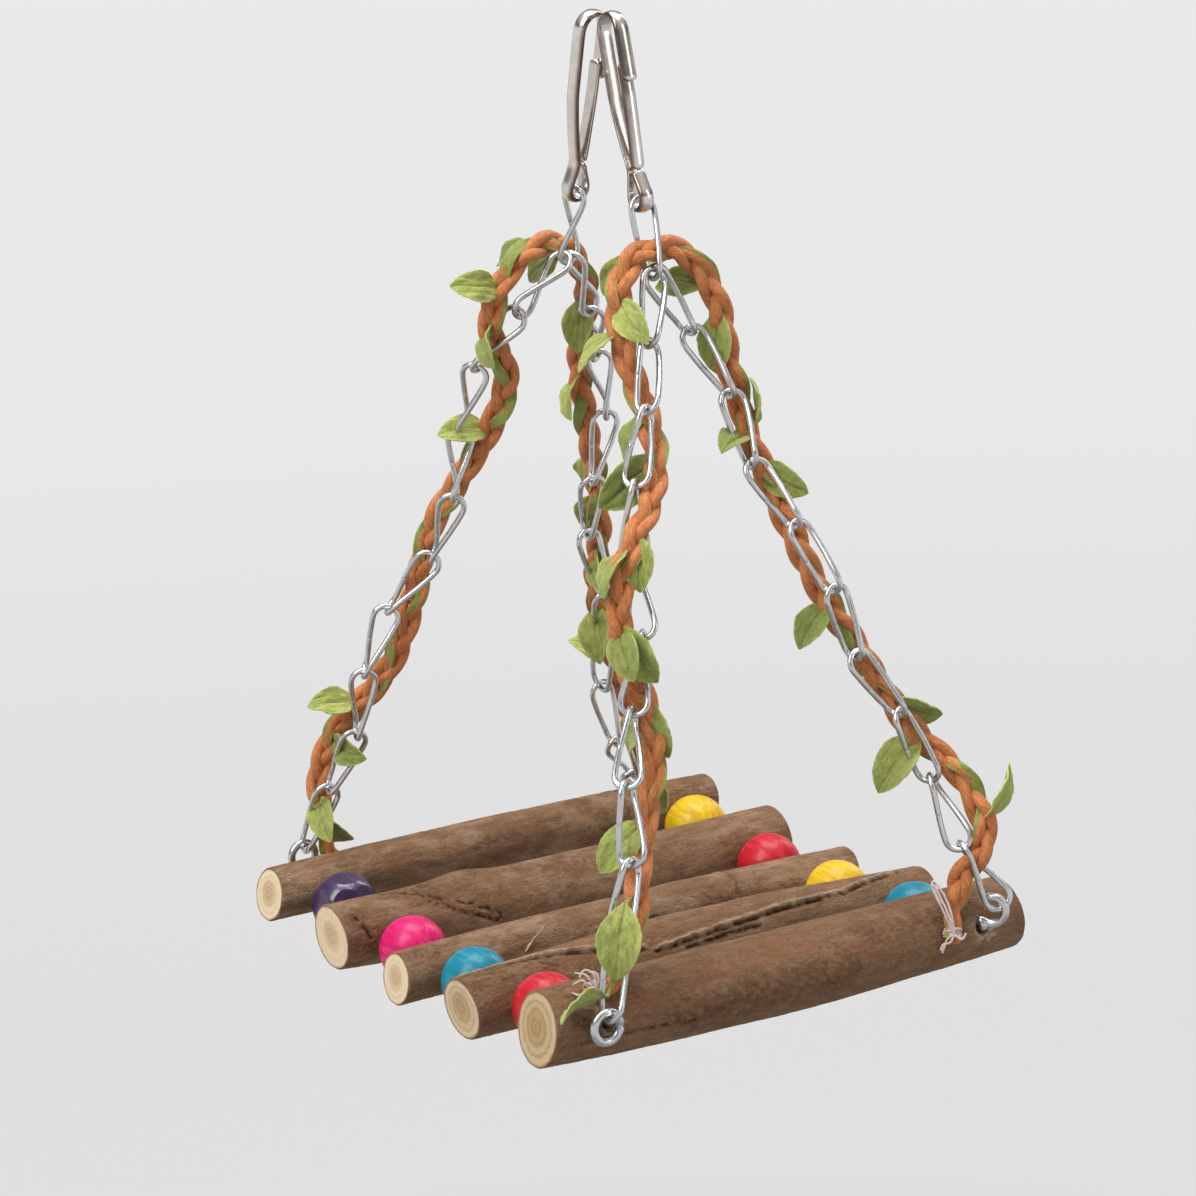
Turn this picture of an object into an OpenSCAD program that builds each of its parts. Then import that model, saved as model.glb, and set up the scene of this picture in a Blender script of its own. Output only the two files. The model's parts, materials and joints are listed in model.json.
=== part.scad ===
// Hanging bird swing: five natural perches and painted beads threaded on two axle wires,
// carried by two V shaped twisted link chains, each on its own spring clip, with plaited
// vines laced up the chains. Millimetres, +Z up, X along the perches, -Y is the near side.
// The origin is the hang point, level with the inside top of both clips.

/* [Perches] */
// Length of each perch
perch_length = 129; // [120:1:150]
// Diameter of the near perch where the axle wires pass through it
perch_1_diameter = 17.6; // [15:0.2:19]
// Diameter of the second perch at the axle wires
perch_2_diameter = 15; // [13:0.2:17]
// Diameter of the third perch at the axle wires
perch_3_diameter = 12.4; // [11:0.2:15]
// Diameter of the fourth perch at the axle wires
perch_4_diameter = 16.4; // [14:0.2:18]
// Diameter of the far perch at the axle wires
perch_5_diameter = 13; // [12:0.2:17]
// Clearance of an axle wire in a perch's drilled hole, per side
perch_bore_clearance = 0.35; // [0.3:0.05:0.6]
// How far the middle of the deck hangs below its outer edges
deck_sag = 6.2; // [4:0.1:8]

/* [Beads] */
// Diameter of a bead
bead_diameter = 16; // [13:0.1:17]
// Length of a bead between the flats round its bore
bead_length = 15.2; // [12:0.1:15.4]
// Clearance of an axle wire in a bead's bore, per side
bead_bore_clearance = 0.4; // [0.3:0.05:0.8]
// Free play between a bead and the perch beside it
bead_play = 0.35; // [0.3:0.05:0.6]

/* [Axle wires] */
// Diameter of the two axle wires
wire_diameter = 2; // [1.6:0.1:2.4]
// How far in from a perch's ends the axle wires run through it
wire_inset = 13; // [10:0.5:18]
// Inside diameter of the ring eyes at the wires' ends
eye_bore = 4.6; // [4.4:0.1:6]
// How far an axle wire runs out of the outer perch before its eye
eye_neck = 4.2; // [4:0.1:7]

/* [Chains] */
// Thickness of the chain wire
link_wire = 1.4; // [1.1:0.05:1.5]
// Width of a link across the outside of an end
link_width = 7.6; // [7.4:0.1:9]
// Inside length of a link, which is the chain's pitch
link_pitch = 17; // [15:0.1:19]
// Number of links in each of the four strands
link_count = 10; // [10:1:11]
// Share of a strand's length that its slack takes up
chain_slack_share = 0.03; // [0.02:0.005:0.06]

/* [Clips] */
// Height of a spring clip over everything
clip_height = 46; // [40:0.5:50]
// Width of a clip over its upper loop
clip_width = 9.2; // [8.8:0.1:11]
// Width of the half round strip that a clip is bent from
strip_width = 3.6; // [3:0.1:3.8]
// Thickness of the strip
strip_thickness = 1.3; // [1.1:0.05:1.4]
// Distance between the tops of the two clips on the bar
clip_spacing = 7.2; // [6.8:0.1:9]
// Distance between the lowest points of the two top links
apex_spread = 36; // [30:0.5:40]
// How far the hooked nose comes down over the gate's tip
nose_length = 15.5; // [14:0.5:17]

/* [Vines and leaves] */
// Diameter of the round plait of waxed cord
vine_diameter = 5; // [4.6:0.1:5.2]
// Length of a leaf
leaf_length = 13; // [11:0.5:14]
// Width of a leaf
leaf_width = 7.6; // [6:0.2:8]
// Thickness of the leaf fabric
leaf_thickness = 0.5; // [0.4:0.05:0.6]

/* [Hidden] */

$fn = 48;

// Clearance between two links, or a link and what it hangs on
link_play = 0.3;
// Clearance of the gate in the frame's socket and from the other arm
gate_play = 0.15;
// Overrun of every cutting tool past the face that it cuts
overrun = 1;

wire_r = wire_diameter / 2;
wire_spacing = perch_length - 2 * wire_inset;
link_r = link_wire / 2;

// Perch and bead positions along the axle wires, as lengths from the middle of the deck
perch_diameters = [
    perch_1_diameter, perch_2_diameter, perch_3_diameter, perch_4_diameter, perch_5_diameter
];
perch_count = len(perch_diameters);
bead_gap = bead_length + 2 * bead_play;
function sum_to(list, n) = n <= 0 ? 0 : list[n - 1] + sum_to(list, n - 1);
deck_half = (sum_to(perch_diameters, perch_count) + (perch_count - 1) * bead_gap) / 2;
function perch_along(i) = sum_to(perch_diameters, i) + i * bead_gap + perch_diameters[i] / 2 - deck_half;
function bead_along(i) = sum_to(perch_diameters, i + 1) + (i + 0.5) * bead_gap - deck_half;

// The axle wires are arcs, because the deck hangs like a shallow hammock
arc_radius = (deck_half * deck_half + deck_sag * deck_sag) / (2 * deck_sag);
function arc_angle(along) = along / arc_radius * 180 / PI;
arc_end = deck_half + eye_neck;
function arc_y(along) = arc_radius * sin(arc_angle(along));
function arc_rise(along) = arc_radius * (1 - cos(arc_angle(along)));

// Ring eyes: [turn of the ring's centre about the wire, tilt of the ring's plane], in degrees
eye_r = eye_bore / 2 + wire_r;
eye_near_left = [180, 90];
eye_near_right = [70, 165];
eye_far_left = [40, 90];
eye_far_right = [130, 60];
function eye_u(e) = [cos(e[0]), 0, sin(e[0])];
function eye_v(e) = [-sin(e[1]) * sin(e[0]), cos(e[1]), sin(e[1]) * cos(e[0])];

// A link along its own centreline
wire_sides = 6;
bend_steps = 7;
leg_steps = 3;
link_bend = (link_width - link_wire) / 2;
link_gap = link_wire + link_play;
link_line = link_pitch + link_gap;
link_straight = link_line / 2 - link_bend;

// The clip's centreline
strip_half = strip_thickness / 2;
loop_r = (clip_width - strip_thickness) / 2;
clip_eye_bore = 4.4;
clip_eye_r = (clip_eye_bore + strip_thickness) / 2;
clip_eye_z = strip_thickness + clip_eye_bore / 2 - clip_height + strip_thickness;
waist_x = strip_half + gate_play / 2 + link_play;
waist_share = 0.76;
waist_z = -waist_share * clip_height;
gate_tip_x = loop_r - strip_thickness - gate_play;
gate_tip_share = 0.7;
gate_tip_z = -nose_length * gate_tip_share;
barrel_r = strip_half + gate_play / 2;
strip_lap = 0.3;
bar_share = 0.97;

// How low a top link hangs in the clip's eye: its bend rests on the strip's two corners
seat_play = 0.9;
link_inner_r = link_width / 2 - link_wire;
eye_floor_z = clip_eye_z - clip_eye_bore / 2;
top_link_centre_z = eye_floor_z + seat_play - sqrt(pow(link_inner_r, 2) - pow(strip_width / 2, 2));
stack_length = link_line - link_bend - top_link_centre_z;
clip_lean = asin((apex_spread - clip_spacing) / 2 / stack_length);

// A side is -1 for the near unit and 1 for the far one
function hang_axis(side) = [0, side * sin(clip_lean), -cos(clip_lean)];
function clip_top(side) = [0, side * clip_spacing / 2, 0];
function apex(side) = clip_top(side) + hang_axis(side) * stack_length;
swing_axis_z = top_link_centre_z * cos(clip_lean);

// The deck hangs as low as the slack chains let it
chain_chord = link_count * link_pitch * (1 - chain_slack_share);
eye_y = arc_y(arc_end);
eye_drop = sqrt(pow(chain_chord, 2) - pow(wire_spacing / 2, 2) - pow(eye_y - apex_spread / 2, 2));
eye_z = apex(1)[2] - eye_drop - eye_r;
deck_z = eye_z - arc_rise(arc_end);

// Headings of the clips' loops and of the top links' upper bends, in degrees about the hang axis
clip_turn_near = -92;
clip_turn_far = 11;
top_link_turn_near = 1;
top_link_turn_far = -74;

// Strand data: side, hand, eye, sideways and outward wander of the joints as shares of the
// pitch, the heading of each link's upper bend in degrees, and its seat in the top link
wander_far_left_share = [
    [0, 0], [-0.42, -0.15], [-0.58, 0], [-0.35, 0.09], [-0.15, -0.14], [-0.03, -0.04],
    [-0.27, 0.06], [-0.29, -0.05], [-0.02, -0.09], [0, 0.02]
];
wander_near_left_share = [
    [0, 0], [-0.07, 0.08], [-0.26, 0.37], [-0.37, 0.25], [-0.09, 0], [0.13, 0.16],
    [0.13, -0.03], [-0.05, 0.16], [0.17, 0.21], [0.1, -0.05]
];
wander_near_right_share = [
    [0, 0], [0.22, -0.28], [0.26, -0.18], [-0.09, 0], [-0.04, 0.2], [-0.05, 0.28],
    [-0.11, -0.05], [0.09, -0.06], [0.06, -0.15], [-0.14, 0.04]
];
wander_far_right_share = [
    [0, 0], [0.18, -0.04], [0.34, 0.17], [0.31, 0.08], [-0.12, -0.04], [-0.23, 0.09],
    [-0.25, -0.18], [-0.28, -0.07], [-0.28, 0.14], [-0.3, -0.07]
];
heading_far_left = [-72, -62, -52, -40, -35, -30, -25, -20, -15, -10, -5];
heading_near_left = [1, 15, 30, 40, 45, 45, 40, 30, 20, 10, 5];
heading_near_right = [1, -8, -8, 0, 10, 5, 5, 22, 45, 68, 75];
heading_far_right = [-72, -58, -38, -20, -10, 0, 5, 5, 0, 0, 0];
strand_near_left = [-1, -1, eye_near_left, wander_near_left_share, heading_near_left, -1];
strand_near_right = [-1, 1, eye_near_right, wander_near_right_share, heading_near_right, 1];
strand_far_left = [1, -1, eye_far_left, wander_far_left_share, heading_far_left, -1];
strand_far_right = [1, 1, eye_far_right, wander_far_right_share, heading_far_right, 1];

function unit(v) = v / norm(v);
function flat(v, n) = v - (v * n) * n;

// Where an eye's ring stands and where a chain pulls on it
function eye_corner(s) = [s[1] * wire_spacing / 2, s[0] * eye_y, eye_z];
function eye_centre(s) = eye_corner(s) + eye_r * eye_u(s[2]);
function pull(s) = unit(apex(s[0]) - eye_centre(s));
function pull_in_ring(s) = (pull(s) * eye_u(s[2])) * eye_u(s[2]) + (pull(s) * eye_v(s[2])) * eye_v(s[2]);
function eye_anchor(s) = eye_centre(s) + eye_r * unit(pull_in_ring(s));
function strand_end(s) = eye_anchor(s) - pull(s) * (wire_r + link_r + link_play - link_gap / 2);

// The two strands sit side by side in the bottom bend of their top link
apex_aside = link_wire * 0.7;
apex_play = 0.2;
apex_lift = link_bend - sqrt(pow(link_bend - link_gap - apex_play, 2) - pow(apex_aside, 2));
function top_heading(side) = 90 + (side < 0 ? top_link_turn_near : top_link_turn_far);
function top_across(side) = [cos(top_heading(side)), sin(top_heading(side)), 0];
function strand_start(s) = apex(s[0]) - hang_axis(s[0]) * apex_lift
    + top_across(s[0]) * apex_aside * s[5] - pull(s) * link_gap / 2;

// A strand's own frame: down the chord, sideways and outwards
function strand_chord(s) = strand_end(s) - strand_start(s);
function strand_down(s) = unit(strand_chord(s));
function strand_out(s) = unit(flat([0, s[0], 0], strand_down(s)));
function strand_side(s) = cross(strand_out(s), strand_down(s)) * -s[0];

// The wander is scaled until ten equal links fill the chord exactly
function wander(s, i) = s[3][min(i, len(s[3]) - 1)] * (i >= link_count ? 0 : 1);
function step_share(s, i, k) = sqrt(max(0, 1 - pow(k * norm(wander(s, i + 1) - wander(s, i)), 2)));
function run_share(s, n, k) = n <= 0 ? 0 : step_share(s, n - 1, k) + run_share(s, n - 1, k);
function fill(s, low, high, n) =
    n <= 0 ? (low + high) / 2
    : run_share(s, link_count, (low + high) / 2) * link_pitch > norm(strand_chord(s))
    ? fill(s, (low + high) / 2, high, n - 1)
    : fill(s, low, (low + high) / 2, n - 1);
function wander_scale(s) = fill(s, 0, 2.5, 24);
function joint(s, i, k) = strand_start(s)
    + strand_down(s) * link_pitch * run_share(s, i, k)
    + strand_side(s) * link_pitch * k * wander(s, i)[0]
    + strand_out(s) * link_pitch * k * wander(s, i)[1];

// Perch shapes: [bulge, oval, oval's angle, bend, bend's angle, left and right end tilts],
// bulge, oval, bend and tilts as shares of the perch's radius
perch_shape_share = [
    [0.085, 0.03, 20, 0.05, 250, 0.14, -0.12],
    [0.03, 0.06, 80, 0.1, 110, -0.1, 0.16],
    [0.02, 0.03, 10, 0.08, 80, 0.1, 0.1],
    [0.03, 0.04, 60, 0.14, 290, -0.06, -0.1],
    [0.05, 0.03, 130, 0.06, 90, 0.2, 0.12]
];
// Knots and swellings: [place along the perch, angle, height, length, spread in degrees],
// the place as a share of the half length, the rest as shares of the radius
perch_knot_share = [
    [[0.1, 200, 0.05, 1.6, 60], [-0.3, 60, 0.03, 0.8, 40]],
    [[-0.25, 95, 0.12, 5, 34], [0.35, 80, 0.05, 1.5, 40]],
    [[0.2, 100, 0.07, 0.9, 40], [-0.45, 20, 0.04, 0.8, 40]],
    [[-0.42, 75, 0.16, 0.9, 42], [0.25, 200, 0.05, 1, 40]],
    [[0, 120, 0.05, 1.2, 50], [0.4, 300, 0.04, 1, 50]]
];
perch_rings = 14;
perch_sides = 18;
wire_place_share = wire_spacing / perch_length;
function swell(x) = 1 - pow(x / wire_place_share, 2);
function angle_between(a, b) = abs(((a - b + 540) % 360) - 180);
function knot(k, r, x, a) = k[2] * exp(-pow((x - k[0]) * perch_length / 2 / (k[3] * r), 2))
    * exp(-pow(angle_between(a, k[1]) / k[4], 2));
function perch_radius(i, x, a) =
    let (r = perch_diameters[i] / 2, p = perch_shape_share[i], k = perch_knot_share[i])
    r * (1 + swell(x) * (p[0] + p[1] * cos(2 * (a - p[2]))) + knot(k[0], r, x, a) + knot(k[1], r, x, a));
function perch_point(i, x, a) =
    let (
        r = perch_diameters[i] / 2,
        p = perch_shape_share[i],
        rr = perch_radius(i, x, a),
        bend = p[3] * r * swell(x),
        tilt = (x < 0 ? p[5] : p[6]) * pow(abs(x), 8)
    )
    [
        x * perch_length / 2 + tilt * rr * sin(a),
        rr * cos(a) + bend * cos(p[4]),
        rr * sin(a) + bend * sin(p[4])
    ];

// The plaited vines, from the left end over the top link to the right end. The routes were
// laid out for this wire spacing, apex and eyes' middle, and follow them to other sizes.
laid_spacing = [103];
laid_apex = [18, -57.92];
laid_eyes = [72.76, -207.99];
function upright(side) = [[side * apex(side)[1], apex(side)[2]], [eye_y, eye_z]];
function aside(v) = [-v[1], v[0]];
function to_size(side, p) =
    let (
        laid = laid_eyes - laid_apex,
        now = upright(side)[1] - upright(side)[0],
        q = [side * p[1], p[2]] - laid_apex,
        down = q * laid / (laid * laid),
        out = q * aside(unit(laid)),
        r = upright(side)[0] + down * now + out * aside(unit(now)),
        spread = max(0, down) * (wire_spacing - laid_spacing[0]) / 2
    )
    [p[0] + sign(p[0]) * spread, side * r[0], r[1]];
vine_far_route = [
    [-44, 70, -203.5], [-43.5, 73, -194.5], [-43, 73, -185.5], [-41, 70, -177],
    [-37.5, 65.5, -169.5], [-33.5, 60.5, -163], [-30.5, 56, -156], [-28, 53.5, -147.5],
    [-26, 51.5, -138.5], [-24, 50, -129.5], [-22, 47.5, -121], [-19, 43.5, -113.5],
    [-16.5, 38.5, -106], [-14.5, 33.5, -98.5], [-13, 29, -91], [-13.5, 25.5, -83],
    [-18, 24, -73], [-18, 21.5, -64.5], [-12, 21, -56.5], [-3.5, 22.5, -53.5],
    [4.5, 24.5, -56], [10, 27, -63], [13, 31, -71], [14, 35.5, -79.5],
    [15.5, 39, -88], [17.5, 41, -96.5], [20, 43, -105.5], [22.5, 44.5, -114],
    [24.5, 46.5, -122.5], [26.5, 49.5, -131.5], [27, 52.5, -140], [28.5, 55, -148.5],
    [32, 58, -157], [35.5, 60.5, -165], [40, 63.5, -172.5], [43, 65.5, -181],
    [46, 68, -189.5], [49.5, 70, -197.5]
];
vine_near_route = [
    [-48.5, -66, -201], [-43.5, -64.5, -194], [-39.5, -62.5, -186], [-36.5, -59.5, -178],
    [-33, -57, -170], [-29, -54.5, -162], [-26.5, -51.5, -153.5], [-26.5, -48, -145],
    [-29.5, -46, -136.5], [-31, -46.5, -128], [-29.5, -45.5, -118.5], [-25, -44, -110.5],
    [-18.5, -41, -104], [-13.5, -36.5, -98], [-10.5, -31, -91], [-10, -26.5, -83.5],
    [-11, -22.5, -75], [-11, -19.5, -66], [-8.5, -17.5, -57.5], [-2.5, -16.5, -52],
    [8, -16.5, -52.5], [14, -18, -59], [17, -19.5, -68], [17.5, -20.5, -77.5],
    [19, -22.5, -86.5], [19, -26, -95], [20.5, -30, -103], [22, -34, -111],
    [23.5, -38, -119], [26, -41, -127.5], [29.5, -43.5, -135.5], [34, -45, -143],
    [38, -47, -151], [42, -50, -159], [46, -54, -166], [50, -60, -172],
    [52.5, -65.5, -179.5], [51.5, -69.5, -188], [46.5, -68, -195.5], [43.5, -68, -204]
];

near_route = [for (p = vine_near_route) to_size(-1, p)];
far_route = [for (p = vine_far_route) to_size(1, p)];

// Leaves: [place along the vine in steps of its route, heading, dip, turn about the leaf's
// length in degrees, size as a share of the usual leaf]
leaf_far_share = [
    [0.9, 5, -45, 155, 1], [1.3, -105, -45, 40, 1], [3.1, -80, -15, 90, 1],
    [4.3, 170, 5, -45, 1], [6.1, 100, -55, -85, 1], [13.1, 170, 0, -50, 1],
    [16.2, -120, -40, 75, 1], [17.2, 175, 10, -70, 1], [18.6, 100, -20, -45, 1],
    [19.8, 115, -40, -70, 1], [21.7, -165, -75, -20, 1.05], [24.1, -140, -50, 55, 1],
    [26.6, 65, -50, -120, 1], [27.8, 80, -55, -115, 1], [29.6, -110, -35, 80, 1],
    [31.4, -125, -65, 25, 1.15], [33.5, 140, 25, -35, 1]
];
leaf_near_share = [
    [0.4, 155, -35, -40, 1.2], [2.1, -160, -75, -30, 1.3], [4, 160, -45, -50, 1.15],
    [5.3, 45, -65, -170, 1], [6.6, 85, -50, -85, 1], [7, -60, -65, 85, 1.1],
    [8.9, -105, -50, 40, 1], [9, -55, -55, 80, 1.15], [10.8, -165, -45, 20, 1],
    [11.2, -120, -65, 10, 1], [13.5, 160, -40, -85, 1.3], [14.6, 115, -65, -50, 1],
    [14.9, 15, -55, -170, 1], [16.7, 160, -40, -10, 1], [17.5, -85, -40, 65, 1],
    [18.8, 80, -60, -100, 1], [18.9, 120, -45, -85, 1], [20, 95, -25, -50, 1],
    [21.2, 125, -5, -50, 1], [21.9, -165, -85, -20, 1.1], [25, 35, 80, 110, 1],
    [25.1, -155, -5, -10, 1], [25.8, -55, -30, 90, 1], [29.7, -175, -45, -25, 1],
    [32.7, -25, -20, 115, 1], [33.9, 165, -50, -45, 1.25], [36.5, -10, 60, 130, 1.15]
];
leaf_curl_share = 1.1;
vine_sides = 8;
tie_wall = 0.4;
tie_width = 3;
tie_inset = 1;
function route_point(route, k) =
    let (i = min(floor(k), len(route) - 2)) route[i] + (k - i) * (route[i + 1] - route[i]);
function route_end(route, last) = last
    ? [route[len(route) - 1], route[len(route) - 2]]
    : [route[0], route[1]];

// A round wire swept along a list of points. Each ring faces the mean of its two stretches,
// and its first direction is carried along the path without twist.
function heading_at(path, i, loop) =
    let (n = len(path))
    loop ? unit(path[(i + 1) % n] - path[(i + n - 1) % n])
    : unit(path[min(i + 1, n - 1)] - path[max(i - 1, 0)]);
function any_across(h) = unit(cross(h, abs(h[2]) < 0.8 ? [0, 0, 1] : [1, 0, 0]));

module swept(path, r, sides, loop = false) {
    n = len(path);
    first = any_across(heading_at(path, 0, loop));
    frames = [
        for (i = 0, a = first; i < n; i = i + 1, a = i < n ? unit(flat(a, heading_at(path, i, loop))) : a)
            a
    ];
    points = [
        for (i = [0 : n - 1], k = [0 : sides - 1])
            let (h = heading_at(path, i, loop), a = 360 * k / sides)
            path[i] + r * (cos(a) * frames[i] + sin(a) * cross(h, frames[i]))
    ];
    // A closed loop ends where its carried direction has turned a little against the first
    slip = loop
        ? let (h = heading_at(path, 0, loop), e = unit(flat(frames[n - 1], h)))
            round(atan2(e * cross(h, frames[0]), e * frames[0]) / 360 * sides)
        : 0;
    skin = [
        for (i = [0 : n - (loop ? 1 : 2)], k = [0 : sides - 1])
            let (
                shift = i == n - 1 ? slip + sides : 0,
                a = i * sides + k,
                b = i * sides + (k + 1) % sides,
                c = (i + 1) % n * sides + (k + 1 + shift) % sides,
                d = (i + 1) % n * sides + (k + shift) % sides
            )
            each [[a, c, b], [a, d, c]]
    ];
    caps = loop ? [] : [
        [for (k = [0 : sides - 1]) k],
        [for (k = [sides - 1 : -1 : 0]) (n - 1) * sides + k]
    ];
    polyhedron(points, concat(skin, caps));
}

// One link of twisted wire: its upper bend lies in XZ and its lower bend in YZ, and the
// legs between them turn a quarter round the axis, a little closer together half way
leg_pinch_share = 0.1;
function ease(t) = t * t * (3 - 2 * t);
function link_leg(t, start) =
    let (turn = start - 90 * ease(t), r = link_bend * (1 - leg_pinch_share * pow(sin(180 * t), 2)))
    [r * cos(turn), r * sin(turn), link_straight * (1 - 2 * t)];
link_line_points = concat(
    [for (a = [0 : 180 / bend_steps : 179]) [link_bend * cos(a), 0, link_straight + link_bend * sin(a)]],
    [for (t = [0 : 1 / leg_steps : 0.999]) link_leg(t, 180)],
    [for (a = [0 : 180 / bend_steps : 179]) [0, link_bend * cos(a), -link_straight - link_bend * sin(a)]],
    [for (t = [1 : -1 / leg_steps : 0.001]) link_leg(t, 0)]
);

module link() {
    swept(link_line_points, link_r, wire_sides, loop = true);
}

module strand(s) {
    k = wander_scale(s);
    for (i = [0 : link_count - 1]) {
        upper = joint(s, i, k);
        lower = joint(s, i + 1, k);
        up = unit(upper - lower);
        spin = atan2(up[1], up[0]);
        translate((upper + lower) / 2)
            rotate([0, acos(up[2]), spin])
            rotate([0, 0, s[4][min(i, len(s[4]) - 1)] - spin])
            link();
    }
}

module chain(s) {
    color("gainsboro")
        strand(s);
}

module hang(side) {
    translate(clip_top(side))
        rotate([side * clip_lean, 0, 0])
        children();
}

module top_link(side, turn) {
    color("gainsboro")
        hang(side)
        translate([0, 0, top_link_centre_z - link_straight])
        rotate([0, 0, turn])
        link();
}

// Half round strip section: x is outwards, y is across the strip
module strip_section() {
    polygon([
        [-strip_half, -strip_width / 2],
        [0, -strip_width / 2],
        [strip_half * 0.7, -strip_width * 0.38],
        [strip_half, -strip_width * 0.2],
        [strip_half, strip_width * 0.2],
        [strip_half * 0.7, strip_width * 0.38],
        [0, strip_width / 2],
        [-strip_half, strip_width / 2]
    ]);
}

module strip_bend(z, r, start, sweep) {
    translate([0, 0, z])
        rotate([90, 0, 0])
        rotate([0, 0, start])
        rotate_extrude(angle = sweep)
        translate([r, 0])
        strip_section();
}

// The bars are a hair thinner than the bends, and run a little way into them
module strip_bar(p, q) {
    d = q - p;
    translate([p[0], 0, p[1]])
        rotate([0, atan2(d[0], d[1]), 0])
        translate([0, 0, -strip_lap])
        linear_extrude(norm(d) + 2 * strip_lap)
        scale(bar_share)
        strip_section();
}

// Round across the strip, for a fold or an end
module strip_round(p, r) {
    translate([p[0], strip_width / 2, p[1]])
        rotate([90, 0, 0])
        cylinder(h = strip_width, r = r);
}

waist_reach = norm([waist_x, waist_z - clip_eye_z]);
eye_tangent = atan2(waist_z - clip_eye_z, -waist_x) + acos(clip_eye_r / waist_reach);
eye_shoulder = [clip_eye_r * cos(eye_tangent), clip_eye_z + clip_eye_r * sin(eye_tangent)];

module clip_frame() {
    loop_z = -loop_r + strip_half;
    difference() {
        union() {
            strip_bar([loop_r, -nose_length], [loop_r, loop_z]);
            strip_bend(loop_z, loop_r, 0, 180);
            strip_bar([-loop_r, loop_z], [-waist_x, waist_z]);
            strip_round([-waist_x, waist_z], strip_half);
            strip_bar([-waist_x, waist_z], eye_shoulder);
            strip_bend(clip_eye_z, clip_eye_r, eye_tangent, 540 - 2 * eye_tangent);
            strip_bar([-eye_shoulder[0], eye_shoulder[1]], [waist_x, waist_z]);
        }
        translate([waist_x, strip_width / 2 + overrun, waist_z])
            rotate([90, 0, 0])
            cylinder(h = strip_width + 2 * overrun, r = barrel_r + gate_play);
    }
}

module clip_gate() {
    strip_round([waist_x, waist_z], barrel_r);
    strip_bar([waist_x, waist_z], [gate_tip_x, gate_tip_z]);
    strip_round([gate_tip_x, gate_tip_z], strip_half);
}

module hook_frame(side, turn) {
    color("silver")
        hang(side)
        rotate([0, 0, turn])
        clip_frame();
}

module hook_gate(side, turn) {
    color("lightgray")
        hang(side)
        rotate([0, 0, turn])
        clip_gate();
}

// A wire's end, bent round into an open ring. Its first points lie inside the wire.
eye_sweep = 305;
eye_steps = 16;
eye_sides = 8;
eye_thin_share = 0.985;
function eye_path(s) = concat(
    [for (k = [3, 0.8]) eye_corner(s) - s[0] * k * wire_r * wire_way(s[0])],
    [
        for (k = [1 : eye_steps])
            let (a = 180 + eye_sweep * k / eye_steps)
            eye_centre(s) + eye_r * (cos(a) * eye_u(s[2]) + sin(a) * eye_v(s[2]))
    ]
);
function wire_way(side) = [0, cos(arc_angle(arc_end)), side * sin(arc_angle(arc_end))];

module axle_wire(hand, near, far) {
    turn = arc_angle(arc_end);
    color("lightsteelblue") {
        translate([hand * wire_spacing / 2, 0, deck_z + arc_radius])
            rotate([0, 90, 0])
            rotate([0, 0, -turn])
            rotate_extrude(angle = 2 * turn, $fn = 720)
            translate([arc_radius, 0])
            circle(r = wire_r, $fn = 32);
        swept(eye_path(near), wire_r * eye_thin_share, eye_sides);
        swept(eye_path(far), wire_r * eye_thin_share, eye_sides);
    }
}

module on_deck(along) {
    translate([0, arc_y(along), deck_z + arc_rise(along)])
        rotate([arc_angle(along), 0, 0])
        children();
}

module cross_bore(length, r) {
    rotate([90, 0, 0])
        cylinder(h = length, r = r, center = true);
}

module perch(i) {
    points = [
        for (ring = [0 : perch_rings - 1], side = [0 : perch_sides - 1])
            perch_point(i, 2 * ring / (perch_rings - 1) - 1, side * 360 / perch_sides)
    ];
    ends = [[-perch_length / 2, 0, 0], [perch_length / 2, 0, 0]];
    last = (perch_rings - 1) * perch_sides;
    skin = [
        for (ring = [0 : perch_rings - 2], side = [0 : perch_sides - 1])
            let (
                a = ring * perch_sides + side,
                b = ring * perch_sides + (side + 1) % perch_sides
            )
            each [[a, b, b + perch_sides], [a, b + perch_sides, a + perch_sides]]
    ];
    caps = [
        for (side = [0 : perch_sides - 1])
            let (next = (side + 1) % perch_sides)
            each [
                [len(points), next, side],
                [len(points) + 1, last + side, last + next]
            ]
    ];
    color("rosybrown")
        on_deck(perch_along(i))
        difference() {
            polyhedron(concat(points, ends), concat(skin, caps));
            for (hand = [-1, 1])
                translate([hand * wire_spacing / 2, 0, 0])
                    cross_bore(perch_diameters[i] * 1.5, wire_r + perch_bore_clearance);
        }
}

module bead_ball() {
    intersection() {
        sphere(r = bead_diameter / 2);
        cube([bead_diameter, bead_length, bead_diameter], center = true);
    }
}

// The purple bead is cut with flat facets, a ring round the middle and one towards each end
facet_count = 8;
facet_turn = 22;
facet_band_share = 0.34;
facet_end_share = 0.26;
module cut_ball() {
    rotate([90, facet_turn, 0])
        hull() {
            cylinder(h = bead_length * facet_band_share, r = bead_diameter / 2, center = true, $fn = facet_count);
            rotate([0, 0, 180 / facet_count])
                cylinder(h = bead_length, r = bead_diameter * facet_end_share, center = true, $fn = facet_count);
        }
}

module bead(hand, i, shade, cut = false) {
    color(shade)
        translate([hand * wire_spacing / 2, 0, 0])
        on_deck(bead_along(i))
        difference() {
            if (cut)
                cut_ball();
            else
                bead_ball();
            cross_bore(bead_length + overrun, wire_r + bead_bore_clearance);
        }
}

module vine(route) {
    color("chocolate")
        swept(route, vine_diameter / 2, vine_sides);
}

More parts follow.
